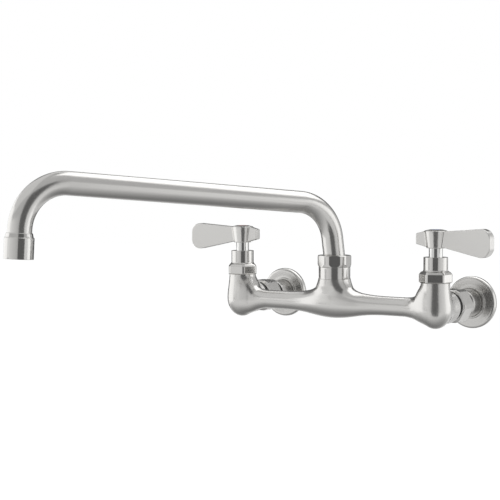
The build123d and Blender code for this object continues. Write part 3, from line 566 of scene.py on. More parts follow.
def rounded_overlap(first, second, radius):
    """The metal that two fields share, with the edge between their faces rounded."""
    corner = np.hypot(np.maximum(first + radius, 0), np.maximum(second + radius, 0))
    return np.minimum(np.maximum(first, second), -radius) + corner


def eased(places, values):
    """A smooth curve through a few chosen stations, level at both ends."""
    places, values = np.array(places, float), np.array(values, float)
    slopes = np.gradient(values, places)
    slopes[0] = slopes[-1] = 0

    def curve(at):
        at = np.clip(at, places[0], places[-1])
        index = np.clip(np.searchsorted(places, at, side="right") - 1, 0, len(places) - 2)
        width = places[index + 1] - places[index]
        t = (at - places[index]) / width
        start = values[index] * (1 + 2 * t) * (1 - t) ** 2 + width * slopes[index] * t * (1 - t) ** 2
        return start + values[index + 1] * t * t * (3 - 2 * t) + width * slopes[index + 1] * t * t * (t - 1)

    return curve


print("a 4 mm fillet adds", -soft_union(0.0, 0.0, 4.0), "mm where two faces meet")


# %% Drawing the surface of a field
SETTLING_ROUNDS = 5


def settle(points, field, step):
    """Moves points along the field's slope until they lie on its surface."""
    nudge = step * 0.05
    for _ in range(SETTLING_ROUNDS):
        slope = np.empty_like(points)
        for axis in range(3):
            ahead, behind = points.copy(), points.copy()
            ahead[:, axis] += nudge
            behind[:, axis] -= nudge
            slope[:, axis] = (field(*ahead.T) - field(*behind.T)) / (2 * nudge)
        steepness = np.maximum((slope ** 2).sum(1), 1e-6)
        move = -slope * (field(*points.T) / steepness)[:, None]
        length = np.linalg.norm(move, axis=1, keepdims=True)
        points = points + move * np.minimum(1, 0.4 * step / np.maximum(length, 1e-9))
    return points


def surface_of(field, low, high, step):
    """Corner points and four-sided faces of a field's zero surface, between two corners of a box."""
    axes = [start + step * np.arange(int((end - start) / step) + 2) for start, end in zip(low, high)]
    inside = field(*np.meshgrid(*axes, indexing="ij")) < 0
    cells = [size - 1 for size in inside.shape]
    filled = np.zeros(cells, int)
    for i, j, k in itertools.product((0, 1), repeat=3):
        filled += inside[i:i + cells[0], j:j + cells[1], k:k + cells[2]]
    active = (filled > 0) & (filled < 8)
    number = np.full(cells, -1)
    number[active] = np.arange(active.sum())
    points = np.stack([axis[index] + step / 2 for axis, index in zip(axes, np.nonzero(active))], 1)
    faces = []
    for along in range(3):
        first, second = (along + 1) % 3, (along + 2) % 3
        near = np.take(inside, range(inside.shape[along] - 1), along)
        far = np.take(inside, range(1, inside.shape[along]), along)
        for leaving in (True, False):
            edge = np.stack(np.nonzero(near & ~far if leaving else ~near & far), 1)
            ring = []
            for a, b in ((-1, -1), (0, -1), (0, 0), (-1, 0)):
                cell = edge.copy()
                cell[:, first] += a
                cell[:, second] += b
                ring.append(number[tuple(cell.T)])
            faces.append(np.stack(ring if leaving else ring[::-1], 1))
    return settle(points, field, step), np.concatenate(faces)


# %% Making meshes
def new_piece(name, points, faces):
    """A mesh piece from points in millimetres."""
    mesh = bpy.data.meshes.new(name)
    mesh.from_pydata((np.asarray(points) * MM).tolist(), [], [tuple(map(int, face)) for face in faces])
    piece = bpy.data.objects.new(name, mesh)
    bpy.context.scene.collection.objects.link(piece)
    return piece


def baked(piece):
    """Turns a piece's modifiers into its plain mesh."""
    bpy.context.view_layer.update()
    made = bpy.data.meshes.new_from_object(piece.evaluated_get(bpy.context.evaluated_depsgraph_get()))
    piece.modifiers.clear()
    piece.data = made
    return piece


def combine(piece, tool, operation):
    """Joins a tool to a piece, or cuts it away, and removes the tool."""
    modifier = piece.modifiers.new("combine", "BOOLEAN")
    modifier.operation = operation
    modifier.solver = "MANIFOLD"
    modifier.object = tool
    baked(piece)
    bpy.data.objects.remove(tool)
    return piece


# %% Finishing meshes
def smooth(piece, sharp_from=30):
    """Smooth shading, with an edge wherever the surface turns more sharply than an angle."""
    piece.data.shade_smooth()
    piece.data.set_sharp_from_angle(angle=math.radians(sharp_from))
    return piece


def facing_out(piece):
    """Turns every face outward, after joining doubled points."""
    work = bmesh.new()
    work.from_mesh(piece.data)
    bmesh.ops.remove_doubles(work, verts=work.verts, dist=1e-7)
    bmesh.ops.recalc_face_normals(work, faces=work.faces)
    work.to_mesh(piece.data)
    work.free()
    return piece


STOOD_FOR = set()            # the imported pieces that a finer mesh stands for


def stand_in(piece, node, body):
    """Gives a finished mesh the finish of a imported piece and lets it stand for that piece."""
    piece.data.materials.clear()
    piece.data.materials.append(FINISH[node])
    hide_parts(node)
    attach(piece, body)
    STOOD_FOR.add(node)


# %% Bars and blocks to join or cut with
def bar(diameter, start, end, sides=96):
    """A round bar between two points in millimetres."""
    start, end = Vector(start), Vector(end)
    turn = (end - start).to_track_quat("Z", "Y").to_matrix()
    rims = []
    for centre in (start, end):
        for side in range(sides):
            angle = math.tau * side / sides
            spoke = Vector((math.cos(angle), math.sin(angle), 0)) * diameter / 2
            rims.append(tuple(centre + turn @ spoke))
    faces = [(i, (i + 1) % sides, sides + (i + 1) % sides, sides + i) for i in range(sides)]
    return new_piece("bar", rims, faces + [tuple(range(sides))[::-1], tuple(range(sides, 2 * sides))])


def block(low, high):
    """A plain block between two corners."""
    corners = list(itertools.product(*zip(low, high)))
    faces = [(0, 1, 3, 2), (4, 6, 7, 5), (0, 4, 5, 1), (2, 3, 7, 6), (0, 2, 6, 4), (1, 5, 7, 3)]
    return new_piece("block", corners, faces)


print("helpers for fields and meshes are ready")

# %% [markdown]
# ## Cast body
# The body is one casting: two rounded valve chests, a slim arm that swells under the spout, a neck that
# spreads into it, and a boss behind each chest. Each form is a field of its own, from a handful of sizes,
# and soft unions give the fillets that the pattern maker would have cut.

# %% Sizes of the casting
CHEST_RADIUS, CHEST_TOP_RADIUS, CHEST_TOP, CHEST_DEPTH = 14.4, 12.5, 22.7, 17.6
ARM_RADIUS, SWELL_RADIUS, SWELL_REACH, SWELL_POWER = 7.8, 13.7, 60.0, 1.4
NECK_RADIUS, NECK_TOP, NECK_SPREAD = 14.85, 22.3, 14.7
NECK_FOOT_RADIUS, NECK_FOOT_DEPTH = 12.8, 9.0
BOSS_ROOT_RADIUS, BOSS_RADIUS, BOSS_FACE = 13.6, 14.8, -58.6
BOSS_LENGTH = BOSS_FACE - AXIS_Y
SPIGOT_RADIUS, SPIGOT_END = 12.3, -39.6
THREAD_RADIUS, THREAD_END = 13.2, -52.4      # the bare thread, painted near black as the shade in the gap, shows as a black ring
NECK_SPIGOT_RADIUS, COLLAR_SEAT = 11.0, 28.3
MACHINING = 2.0              # spare metal that is cut off where a face is machined
NECK_FILLET, BOSS_FILLET, ARM_FILLET = 4.0, 3.0, 3.0
ROOT_FILLET = (1.0, 4.0)     # at the valve's axis and at its full width
ROOT_FILLET_FROM, ROOT_FILLET_GROWTH = 3.0, 9.0

chest_side = eased([0, CHEST_TOP], [CHEST_RADIUS, CHEST_TOP_RADIUS])
# stations up the neck as shares of its height: how far it spreads along the arm, and its width in front
neck_spread = eased([0, 0.24, 0.47, 0.60, 0.73, 0.86, 1.0], [1.0, 0.90, 0.49, 0.27, 0.15, 0.06, 0.0])
neck_width = eased([0, 0.24, 0.47, 0.60, 0.73, 0.86, 1.0], [0.0, 0.05, 0.25, 0.56, 0.88, 0.97, 1.0])
# stations out from a valve's axis, in chest radii: climb to the top, drop to the bottom, widening
ROOT_STATIONS = [0.0, 0.33, 0.62, 1.01, 1.18, 1.42, 1.74, 2.08]
ROOT_START = 2.0             # how far from the valve's axis the spread begins
root_climb = eased(ROOT_STATIONS, [0.92, 0.90, 0.84, 0.59, 0.30, 0.12, 0.03, 0.0])
root_drop = eased(ROOT_STATIONS, [0.58, 0.57, 0.54, 0.46, 0.35, 0.22, 0.09, 0.0])
root_widening = eased(ROOT_STATIONS, [0.84, 0.83, 0.69, 0.43, 0.32, 0.17, 0.04, 0.0])
ROOT_SQUARENESS = 0.9        # how much fuller than an oval the section is at the chest
print("arm", 2 * ARM_RADIUS, "to", 2 * SWELL_RADIUS, "chests", 2 * CHEST_RADIUS, "neck", 2 * NECK_RADIUS)


# %% Fields of the casting
def arm_field(x, y, z):
    """The long arm, thick under the spout."""
    share = 0.5 * (1 + np.cos(np.pi * np.clip(x / SWELL_REACH, -1, 1)))
    radius = ARM_RADIUS + (SWELL_RADIUS - ARM_RADIUS) * share ** SWELL_POWER
    return np.maximum(np.hypot(y, z) - radius, np.abs(x) - VALVE_X)


def neck_field(x, y, z):
    """The neck as level ovals; it runs on above its seat, and closes inside the arm below."""
    share = z / NECK_TOP
    long = NECK_RADIUS + neck_spread(share) * NECK_SPREAD
    wide = NECK_FOOT_RADIUS + neck_width(share) * (NECK_RADIUS - NECK_FOOT_RADIUS)
    below = np.minimum(z, 0) / NECK_FOOT_DEPTH
    return (np.sqrt((x / long) ** 2 + (y / wide) ** 2 + below ** 2) - 1) * wide


def chest_field(x, y, z):
    """A bulb below the inlet's height, and a wall that draws in a little above it."""
    radius = np.hypot(x, y)
    bulb = (np.hypot(radius / CHEST_RADIUS, z / CHEST_DEPTH) - 1) * CHEST_RADIUS
    return np.where(z < 0, bulb, radius - chest_side(z))


def root_field(x, y, z):
    """The metal that spreads from the arm into a chest; x runs from the valve's axis to the middle."""
    reach = x / CHEST_RADIUS
    top = ARM_RADIUS + root_climb(reach) * (CHEST_TOP - ARM_RADIUS)
    low = -ARM_RADIUS - root_drop(reach) * (CHEST_DEPTH - ARM_RADIUS)
    wide = ARM_RADIUS + root_widening(reach) * (CHEST_RADIUS - ARM_RADIUS)
    tall = (top - low) / 2
    power = 2 + ROOT_SQUARENESS * root_widening(reach)
    across, up = np.abs(y) / wide, np.abs(z - (top + low) / 2) / tall
    oval = ((across ** power + up ** power) ** (1 / power) - 1) * np.minimum(wide, tall)
    return np.maximum(oval, ROOT_START - x)


def casting_field(x, y, z):
    """The whole casting; y runs from the plane of the axes towards the wall."""
    middle = soft_union(arm_field(x, y, z), neck_field(x, y, z), NECK_FILLET)
    inward = VALVE_X - np.abs(x)
    growth = np.clip((inward - ROOT_FILLET_FROM) / ROOT_FILLET_GROWTH, 0, 1)
    fillet = ROOT_FILLET[0] + (ROOT_FILLET[1] - ROOT_FILLET[0]) * growth
    valve = soft_union(chest_field(inward, y, z), root_field(inward, y, z), fillet)
    boss_radius = BOSS_ROOT_RADIUS + (BOSS_RADIUS - BOSS_ROOT_RADIUS) * y / BOSS_LENGTH
    boss = np.maximum(np.hypot(inward, z) - boss_radius, -y)
    whole = soft_union(middle, soft_union(valve, boss, BOSS_FILLET), ARM_FILLET)
    return np.maximum(whole, np.maximum(z - CHEST_TOP, y - BOSS_LENGTH) - MACHINING)


print("metal round a valve's middle", round(float(-casting_field(VALVE_X, 0.0, 0.0)), 1), "mm deep")

# %% Pour the casting
GRID = 0.8
MARGIN, MARGIN_AT_CUTS = 3.0, 4.0                # room round the casting, and past its machined faces
far = VALVE_X + CHEST_RADIUS + MARGIN
box_low = (-far, -CHEST_RADIUS - MARGIN, -CHEST_DEPTH - MARGIN)
box_high = (far, BOSS_LENGTH + MARGIN_AT_CUTS, CHEST_TOP + MARGIN_AT_CUTS)
points, faces = surface_of(casting_field, box_low, box_high, GRID)
points[:, 1] += AXIS_Y
casting = new_piece("cast_body", points, faces)
print("casting faces", len(casting.data.polygons))

# %% Face the casting
half_way, clear = VALVE_X / 2, 200
combine(casting, block((-clear, -clear, CHEST_TOP), (-half_way, 0, clear)), "DIFFERENCE")
combine(casting, block((half_way, -clear, CHEST_TOP), (clear, 0, clear)), "DIFFERENCE")
combine(casting, block((-half_way, -clear, NECK_TOP), (half_way, 0, clear)), "DIFFERENCE")
combine(casting, block((-clear, BOSS_FACE, -clear), (clear, 0, clear)), "DIFFERENCE")
print("faced at", CHEST_TOP, NECK_TOP, BOSS_FACE)

# %% Bore the casting
SUNK, OVERRUN = 0.5, 1.0     # how far a joined bar starts inside the metal, and a bore runs past a face
NECK_BORE, NECK_BORE_FOOT = 16.0, -4.5
CROSS_BORE, CROSS_BORE_END = 9.0, 8.8            # its end lies this far from the valve's axis
INLET_BORE, INLET_BORE_END = 15.0, 11.8
FEED_BORE, FEED_END, FEED_LEVEL = 8.0, 19.8, -7.0
# bores of a valve chest from its top down: width, lowest level, highest level
CHEST_BORES = [(21.3, 14.0, CHEST_TOP + OVERRUN), (19.6, -1.0, 14.5), (9.0, -3.5, 0.0), (12.0, -12.0, -3.0)]
combine(casting, bar(2 * NECK_SPIGOT_RADIUS, (0, AXIS_Y, NECK_TOP - SUNK), (0, AXIS_Y, COLLAR_SEAT)), "UNION")
for sign in SIDES.values():
    x = sign * VALVE_X
    for radius, end in ((SPIGOT_RADIUS, SPIGOT_END), (THREAD_RADIUS, THREAD_END)):
        combine(casting, bar(2 * radius, (x, BOSS_FACE - SUNK, 0), (x, end, 0)), "UNION")
neck_bore = bar(NECK_BORE, (0, AXIS_Y, NECK_BORE_FOOT), (0, AXIS_Y, COLLAR_SEAT + OVERRUN))
combine(casting, neck_bore, "DIFFERENCE")
cross_end = VALVE_X - CROSS_BORE_END
combine(casting, bar(CROSS_BORE, (-cross_end, AXIS_Y, 0), (cross_end, AXIS_Y, 0)), "DIFFERENCE")
for sign in SIDES.values():
    x = sign * VALVE_X
    for diameter, low, high in CHEST_BORES:
        combine(casting, bar(diameter, (x, AXIS_Y, low), (x, AXIS_Y, high)), "DIFFERENCE")
    inlet_bore = bar(INLET_BORE, (x, AXIS_Y + INLET_BORE_END, 0), (x, SPIGOT_END + OVERRUN, 0))
    combine(casting, inlet_bore, "DIFFERENCE")
    feed_end = (x, AXIS_Y + FEED_END, FEED_LEVEL)
    combine(casting, bar(FEED_BORE, (x, AXIS_Y, FEED_LEVEL), feed_end), "DIFFERENCE")
smooth(casting)
print("bored casting faces", len(casting.data.polygons))

# %% Finish the casting
BOSS_SKIN_LENGTH = 10.5      # the end of each boss keeps its rough skin
SPARE = 0.01                 # keeps the boss face itself out of what lies beyond it
stand_in(casting, "cross_body", "faucet_body")
casting.data.materials.append(BOSS_SKIN)
casting.data.materials.append(PAINTED_SHADE_THREAD)
for face in casting.data.polygons:
    from_axis = math.hypot(abs(face.center.x) - VALVE_X * MM, face.center.z)
    at_boss = face.center.y > (BOSS_FACE - BOSS_SKIN_LENGTH) * MM
    if at_boss:
        face.material_index = 1
    # faces past the boss face and round the spigot get the near-black painted shade of the gap behind the nut
    if face.center.y > (BOSS_FACE + SPARE) * MM or (from_axis < SPIGOT_RADIUS * MM and at_boss):
        face.material_index = 2
print("cast body faces", len(casting.data.polygons))

# %% [markdown]
# ## Spout tube
# The spout is one drawn tube, bent twice. Its shape follows a rule, a round section along a path of straight
# runs and arcs, so Geometry Nodes make it: four corner points become a curve, the corners are rounded each
# with its own bend, and a circle is carried along. The tree also writes how far along and around each point
# lies, so that the brushing can follow the bends.

# %% Path of the tube
TUBE_RADIUS, TUBE_WALL = 9.84, 1.2
SPOUT_REACH = 304.8
SPOUT_TURN = math.radians(-90 - 24.56)           # 24.56 degrees to the left of straight ahead
LEG_LEAN, RUN_SLOPE, OUTLET_LEAN = math.radians(7.8), math.radians(4.24), math.radians(3.12)
BASE_BEND, OUTLET_BEND = 37.9, 39.1
TUBE_START, TUBE_LEG, OUTLET_LEG = 40.85, 19.25, 23.0
AERATOR_LENGTH, AERATOR_SOCKET = 17.2, 8.0

quarter = math.pi / 2
leg_line = TUBE_LEG + BASE_BEND * math.tan((quarter - RUN_SLOPE - LEG_LEAN) / 2)
outlet_drop = OUTLET_LEG + OUTLET_BEND * math.tan((quarter + RUN_SLOPE - OUTLET_LEAN) / 2)
low_corner = Vector((leg_line * math.sin(LEG_LEAN), 0, TUBE_START + leg_line * math.cos(LEG_LEAN)))
far_reach = SPOUT_REACH - outlet_drop * math.sin(OUTLET_LEAN)
far_corner = Vector((far_reach, 0, low_corner.z + (far_reach - low_corner.x) * math.tan(RUN_SLOPE)))
outlet_way = Vector((math.sin(OUTLET_LEAN), 0, -math.cos(OUTLET_LEAN)))
mouth = far_corner + outlet_way * outlet_drop
below_start = 2 * TUBE_RADIUS * math.tan(LEG_LEAN)       # spare length, cut off level at the tube's start
leg_way = Vector((math.sin(LEG_LEAN), 0, math.cos(LEG_LEAN)))
corners = [
    Vector((0, 0, TUBE_START)) - leg_way * below_start, low_corner, far_corner,
    far_corner + outlet_way * (outlet_drop - AERATOR_LENGTH + AERATOR_SOCKET),
]
print("run climbs to", round(far_corner.z, 1), "mouth at", round(mouth.x, 1), round(mouth.z, 1))


# %% Helpers for geometry trees
FLOAT, WHOLE = "NodeSocketFloat", "NodeSocketInt"


def new_tree(name, sizes):
    """An empty geometry tree with named inputs, its finish among them, and the node that brings them."""
    tree = bpy.data.node_groups.new(name, "GeometryNodeTree")
    inputs = {"Geometry": "NodeSocketGeometry", **sizes, "Finish": "NodeSocketMaterial"}
    for socket, kind in inputs.items():
        tree.interface.new_socket(socket, in_out="INPUT", socket_type=kind)
    tree.interface.new_socket("Geometry", in_out="OUTPUT", socket_type="NodeSocketGeometry")
    return tree, tree.nodes.new("NodeGroupInput")


def end_tree(tree, source, geometry):
    """Makes a tree's instances real, because the export drops them, and puts the finish on."""
    realize = tree.nodes.new("GeometryNodeRealizeInstances")
    finish = tree.nodes.new("GeometryNodeSetMaterial")
    result = tree.nodes.new("NodeGroupOutput")
    tree.links.new(geometry, realize.inputs["Geometry"])
    tree.links.new(realize.outputs["Geometry"], finish.inputs["Geometry"])
    tree.links.new(source.outputs["Finish"], finish.inputs["Material"])
    tree.links.new(finish.outputs["Geometry"], result.inputs["Geometry"])
    return tree


def set_inputs(modifier, **values):
    """Sets a tree's named inputs; an underscore stands for a space."""
    for item in modifier.node_group.interface.items_tree:
        key = item.name.replace(" ", "_")
        if item.item_type == "SOCKET" and item.in_out == "INPUT" and key in values:
            modifier[item.identifier] = values[key]


# %% Tree that carries a circle along a path
def build_tube_tree():
    """Geometry nodes: corner points with a bend each become a round tube with its brushing written on."""
    tree, source = new_tree("bent tube", {"Radius": FLOAT, "Bend steps": WHOLE, "Sides": WHOLE})
    new, link = tree.nodes.new, tree.links.new
    path = new("GeometryNodeMeshToCurve")
    bend = new("GeometryNodeInputNamedAttribute")
    bend.inputs["Name"].default_value = "bend"
    rounded = new("GeometryNodeFilletCurve")
    rounded.mode = "POLY"
    link(source.outputs["Geometry"], path.inputs["Mesh"])
    link(path.outputs["Curve"], rounded.inputs["Curve"])
    link(bend.outputs["Attribute"], rounded.inputs["Radius"])
    link(source.outputs["Bend steps"], rounded.inputs["Count"])

    along = new("GeometryNodeSplineParameter")
    keep_along = new("GeometryNodeCaptureAttribute")
    keep_along.capture_items.new("FLOAT", "Along")
    link(rounded.outputs["Curve"], keep_along.inputs["Geometry"])
    link(along.outputs["Length"], keep_along.inputs["Along"])

    circle = new("GeometryNodeCurvePrimitiveCircle")
    link(source.outputs["Sides"], circle.inputs["Resolution"])
    link(source.outputs["Radius"], circle.inputs["Radius"])
    around = new("GeometryNodeSplineParameter")
    keep_around = new("GeometryNodeCaptureAttribute")
    keep_around.capture_items.new("FLOAT", "Around")
    link(circle.outputs["Curve"], keep_around.inputs["Geometry"])
    link(around.outputs["Factor"], keep_around.inputs["Around"])

    skin = new("GeometryNodeCurveToMesh")
    link(keep_along.outputs["Geometry"], skin.inputs["Curve"])
    link(keep_around.outputs["Geometry"], skin.inputs["Profile Curve"])
    turn = math_node(tree, "MULTIPLY", keep_around.outputs["Around"], math.tau)
    spoke = [
        math_node(tree, "MULTIPLY", math_node(tree, wave, turn), source.outputs["Radius"])
        for wave in ("COSINE", "SINE")
    ]
    store = new("GeometryNodeStoreNamedAttribute")
    store.data_type, store.domain = "FLOAT_VECTOR", "POINT"
    store.inputs["Name"].default_value = "brushed"
    link(skin.outputs["Mesh"], store.inputs["Geometry"])
    link(vector_node(tree, keep_along.outputs["Along"], *spoke), store.inputs["Value"])
    return end_tree(tree, source, store.outputs["Geometry"])


# %% Make the tube
BEND_STEPS, TUBE_SIDES = 40, 112
swing = Matrix.Translation((0, AXIS_Y, 0)) @ Matrix.Rotation(SPOUT_TURN, 4, "Z")
tube = new_piece("drawn_tube", [tuple(swing @ corner) for corner in corners], [])
tube.data.edges.add(3)
tube.data.edges.foreach_set("vertices", [0, 1, 1, 2, 2, 3])
tube.data.attributes.new("bend", "FLOAT", "POINT").data.foreach_set(
    "value", [0, BASE_BEND * MM, OUTLET_BEND * MM, 0],
)
follow = tube.modifiers.new("bent tube", "NODES")
follow.node_group = build_tube_tree()
set_inputs(follow, Radius=TUBE_RADIUS * MM, Bend_steps=BEND_STEPS, Sides=TUBE_SIDES, Finish=TUBE)
wall_thickness = tube.modifiers.new("wall", "SOLIDIFY")
wall_thickness.thickness = TUBE_WALL * MM
wall_thickness.offset = -1
baked(tube)
print("tube faces", len(tube.data.polygons), "box", [round(v / MM, 1) for v in tube.dimensions])

# %% Cut the tube level at its start
BLOCK_REACH = 60             # well clear of the tube's leg
facing_out(tube)
under = block((-BLOCK_REACH, AXIS_Y - BLOCK_REACH, 0), (BLOCK_REACH, AXIS_Y + BLOCK_REACH, TUBE_START))
combine(tube, under, "DIFFERENCE")
smooth(tube)
stand_in(tube, "spout_tube", "spout")
print("tube", len(tube.data.vertices), "points")

# %% [markdown]
# ## Turned and milled pieces
# Nuts and bonnets start as a turned blank, and the mill then cuts six flats. A bevelled prism would miss the
# arched edges that this leaves, where each flat runs out into the blank's cone. So each mesh is a blank's
# outline turned round the axis, whose points are held inside the hexagon, with the edge eased a little as
# polishing does.

# %% Outlines of turned blanks
CORNER_STEPS = 4             # short sides round a softened corner


def softened(outline, radius):
    """A closed outline of (radius, height) points with every corner rounded."""
    count = len(outline)
    points = []
    for index, corner in enumerate(outline):
        here = Vector(corner)
        before, after = Vector(outline[index - 1]), Vector(outline[(index + 1) % count])
        reach = min(radius, (before - here).length * 0.4, (after - here).length * 0.4)
        start = here + (before - here).normalized() * reach
        end = here + (after - here).normalized() * reach
        for step in range(CORNER_STEPS + 1):
            t = step / CORNER_STEPS
            points.append(tuple(start * (1 - t) ** 2 + here * 2 * t * (1 - t) + end * t ** 2))
    return points


def divided(points, longest):
    """The same outline with no side longer than a given length."""
    out = []
    for index, start in enumerate(points):
        start, end = Vector(start), Vector(points[(index + 1) % len(points)])
        parts = max(1, math.ceil((end - start).length / longest))
        out += [tuple(start.lerp(end, part / parts)) for part in range(parts)]
    return out


def blank(outline, edge=0.3, longest=0.4):
    """A blank's outline ready to turn."""
    return divided(softened(outline, edge), longest)


square = [(0, 0), (4, 0), (4, 4), (0, 4)]
print("a square's outline gets", len(blank(square)), "points")


# %% Milled flats
def eased_min(first, second, reach):
    """The smaller of two numbers, eased where they are close."""
    share = min(max(0.5 + 0.5 * (second - first) / reach, 0), 1)
    return second + (first - second) * share - reach * share * (1 - share)


class Hexagon(NamedTuple):
    """Six milled flats, from a lowest to a highest height."""
    across: float
    turn: float
    low: float
    high: float
    ease: float = 0.35       # how softly the flats meet the turned shape
    forged: float = 0.0      # how far they draw in with the outline, as on a forged nut


def milled(radius, height, angle, flats, widest):
    """A point's radius once the flats are cut."""
    if not flats.low <= height <= flats.high:
        return radius
    from_flat = (angle - flats.turn) % (math.pi / 3) - math.pi / 6
    draw_in = 1 + (radius / widest - 1) * flats.forged
    return eased_min(radius, flats.across / 2 / math.cos(from_flat) * draw_in, flats.ease)


# %% Turning a blank
def turned(name, outline, place, sides=180, flats=None):
    """A closed turned mesh; place turns axis points into the faucet, and flats mill it to a hexagon."""
    points, faces = [], []
    widest = max(radius for radius, height in outline)
    count = len(outline)
    for side in range(sides):
        angle = math.tau * side / sides
        for radius, height in outline:
            if flats:
                radius = milled(radius, height, angle, flats, widest)
            points.append(tuple(place @ Vector((radius * math.cos(angle), radius * math.sin(angle), height))))
        near, far = side * count, (side + 1) % sides * count
        for index in range(count):
            ahead = (index + 1) % count
            faces.append((near + index, far + index, far + ahead, near + ahead))
    piece = facing_out(new_piece(name, points, faces))
    return smooth(piece, sharp_from=35)


def upright(x):
    """From an upright axis at the valve or spout to the faucet."""
    return Matrix.Translation((x, AXIS_Y, 0))


def from_wall(x):
    """From an inlet's axis, with heights as distances from the wall, to the faucet."""
    return Matrix.Translation((x, 0, 0)) @ Matrix.Rotation(math.pi / 2, 4, "X")


# %% Bonnets
HEXAGON_SIDES = 240          # strips round a milled piece
BONNET_SLEEVE_RADIUS, BONNET_SEAT = 10.6, CHEST_TOP + 0.02
BONNET_TURN = {"left": math.radians(6.5), "right": math.radians(24.0)}
BONNET_OUTLINE = [
    (7.9, 15.5), (10.6, 15.5), (10.6, BONNET_SEAT), (13.6, BONNET_SEAT), (14.5, 23.6), (14.5, 30.2),
    (12.9, 32.2), (11.2, 32.9), (BONNET_SLEEVE_RADIUS, 33.9), (BONNET_SLEEVE_RADIUS, 45.2), (6.05, 45.2),
    (6.05, 28.4), (7.9, 28.4),
]
for side, sign in SIDES.items():
    flats = Hexagon(across=26.0, turn=BONNET_TURN[side], low=22.8, high=33.0, ease=0.3, forged=0.8)
    place = upright(sign * VALVE_X)
    bonnet = turned(f"{side}_valve_bonnet", blank(BONNET_OUTLINE), place, HEXAGON_SIDES, flats)
    stand_in(bonnet, f"{side}_bonnet", "faucet_body")
print("bonnet faces", len(bonnet.data.polygons))

# %% Spout nut and collar
NUT_CORNERS = 15.3
NUT_FLATS = Hexagon(across=29.0, turn=math.radians(30.5), low=33.2, high=43.6, ease=0.25)
NUT_OUTLINE = [
    (12.35, 33.02), (14.5, 33.02), (NUT_CORNERS, 35.4), (NUT_CORNERS, 43.1), (14.6, 43.8), (10.65, 43.8),
    (10.65, 40.9), (12.35, 40.9),
]
spout_nut = turned("hexagon_spout_nut", blank(NUT_OUTLINE), upright(0), HEXAGON_SIDES, NUT_FLATS)
stand_in(spout_nut, "spout_nut", "faucet_body")
COLLAR_OUTLINE = [
    (11.05, 22.3), (14.4, 22.3), (14.4, 33.0), (12.3, 33.0), (12.3, 38.6), (10.55, 38.6), (10.55, 28.3),
    (11.05, 28.3),
]
collar = turned("turned_neck_collar", blank(COLLAR_OUTLINE, 0.25, 2.0), upright(0))
stand_in(collar, "neck_collar", "faucet_body")
print("nut and collar done")

# %% [markdown]
# ## Inlets
# Behind each chest a hexagon nut draws a turned shank against the boss, and the shank passes through a round
# flange on the wall. The dark rings in the photograph are the gaps at both ends of the nut, where the threads
# lie in shadow, so the thread and the shank's neck are painted near black as that shade. Cylinders with
# bevels could make these pieces too, but one turned outline holds every step of the lathe in a short list.

# %% Inlet pieces
COUPLING_OUTLINE = [
    (11.6, 31.6), (14.4, 31.6), (15.9, 32.8), (15.9, 50.5), (13.6, 52.1), (12.35, 52.1), (12.35, 34.4),
    (11.6, 34.4),
]
COUPLING_FLATS = Hexagon(across=29.2, turn=0.0, low=31.8, high=51.9, forged=0.5)
SHANK_OUTLINE = [
    (7.5, 15.0), (9.13, 15.0), (9.13, 0.0), (13.0, 0.0), (13.0, 25.6), (12.4, 26.2), (11.2, 26.2),
    (11.2, 34.4), (12.0, 34.4), (12.0, 37.6), (7.5, 37.6),
]
FLANGE_OUTLINE = [
    (13.05, 0.0), (23.6, 0.0), (24.0, 0.5), (24.0, 3.2), (23.2, 4.9), (21.8, 5.4), (14.6, 5.4), (14.6, 8.2),
    (13.05, 8.2),
]
SHANK_NECK_FROM = 26.1       # beyond this the shank is painted near black as the shade in the gap, and shows only as a dark gap
for side, sign in SIDES.items():
    place = from_wall(sign * VALVE_X)
    nut = turned(f"{side}_hexagon_coupling", blank(COUPLING_OUTLINE), place, HEXAGON_SIDES, COUPLING_FLATS)
    stand_in(nut, f"{side}_coupling_nut", "faucet_body")
    shank = turned(f"{side}_turned_shank", blank(SHANK_OUTLINE, 0.3, 3.0), place)
    stand_in(shank, f"{side}_inlet_shank", "faucet_body")
    # the shank's neck is painted near black as the shadow in the gap behind the nut
    shank.data.materials.append(PAINTED_SHADE_THREAD)
    for face in shank.data.polygons:
        if -face.center.y > SHANK_NECK_FROM * MM:
            face.material_index = 1
    flange = turned(f"{side}_round_flange", blank(FLANGE_OUTLINE, 0.5, 3.0), place)
    stand_in(flange, f"{side}_wall_flange", "faucet_body")
print("inlets done")

# %% [markdown]
# ## Lever handles
# Each lever is a small casting of its own: a conical hub, a spade-shaped blade that grows towards its round
# tip, and a short tail. An extruded outline with bevels could give the blade, but not the soft seam where it
# grows out of a cone. So it is made from fields as the body is, on a finer grid, and then bored for the stem,
# the screw and the cap. The left lever is the right one's mirror image.

# %% Sizes of a lever
HUB_FOOT, HUB_HEIGHT, HUB_FOOT_RADIUS, HUB_TOP_RADIUS = 52.9, 15.1, 8.0, 10.3
BLADE_LENGTH, BLADE_CORNER = 54.55, 9.0
BLADE_LOW, BLADE_HIGH = (2.7, -9.0), (14.2, 18.4)    # at the hub's axis and at the tip
BLADE_THICK = (6.6, 8.0)
BLADE_SWEEP = math.radians(5)
BLADE_EDGE, TAIL_EDGE, HUB_EDGE = 0.5, 0.6, 0.5
TAIL_LENGTH, TAIL_THICK = 17.9, 6.2
TAIL_LOW, TAIL_HIGH = (0.9, 3.5), (14.8, 12.7)       # at the hub and at the tail's end
SEAM = 0.7                   # width of the fillet where blade and tail meet the hub
print("blade", BLADE_LENGTH, "tail", TAIL_LENGTH, "hub", 2 * HUB_TOP_RADIUS)


# %% Lines and corners of a lever
def line_field(x, z, start, end):
    """How far a place lies to the left of a line in the blade's own plane."""
    run, rise = end[0] - start[0], end[1] - start[1]
    return ((z - start[1]) * run - (x - start[0]) * rise) / math.hypot(run, rise)


def round_corner(first, second, radius, cosine):
    """Where two flat sides meet, given the cosine between the ways they face, with a true round corner."""
    a, b = first + radius, second + radius
    round_part = (a > b * cosine) & (b > a * cosine)
    arc = np.sqrt(np.maximum(a * a + b * b - 2 * a * b * cosine, 0) / (1 - cosine ** 2))
    return np.where(round_part, arc, np.maximum(a, b)) - radius


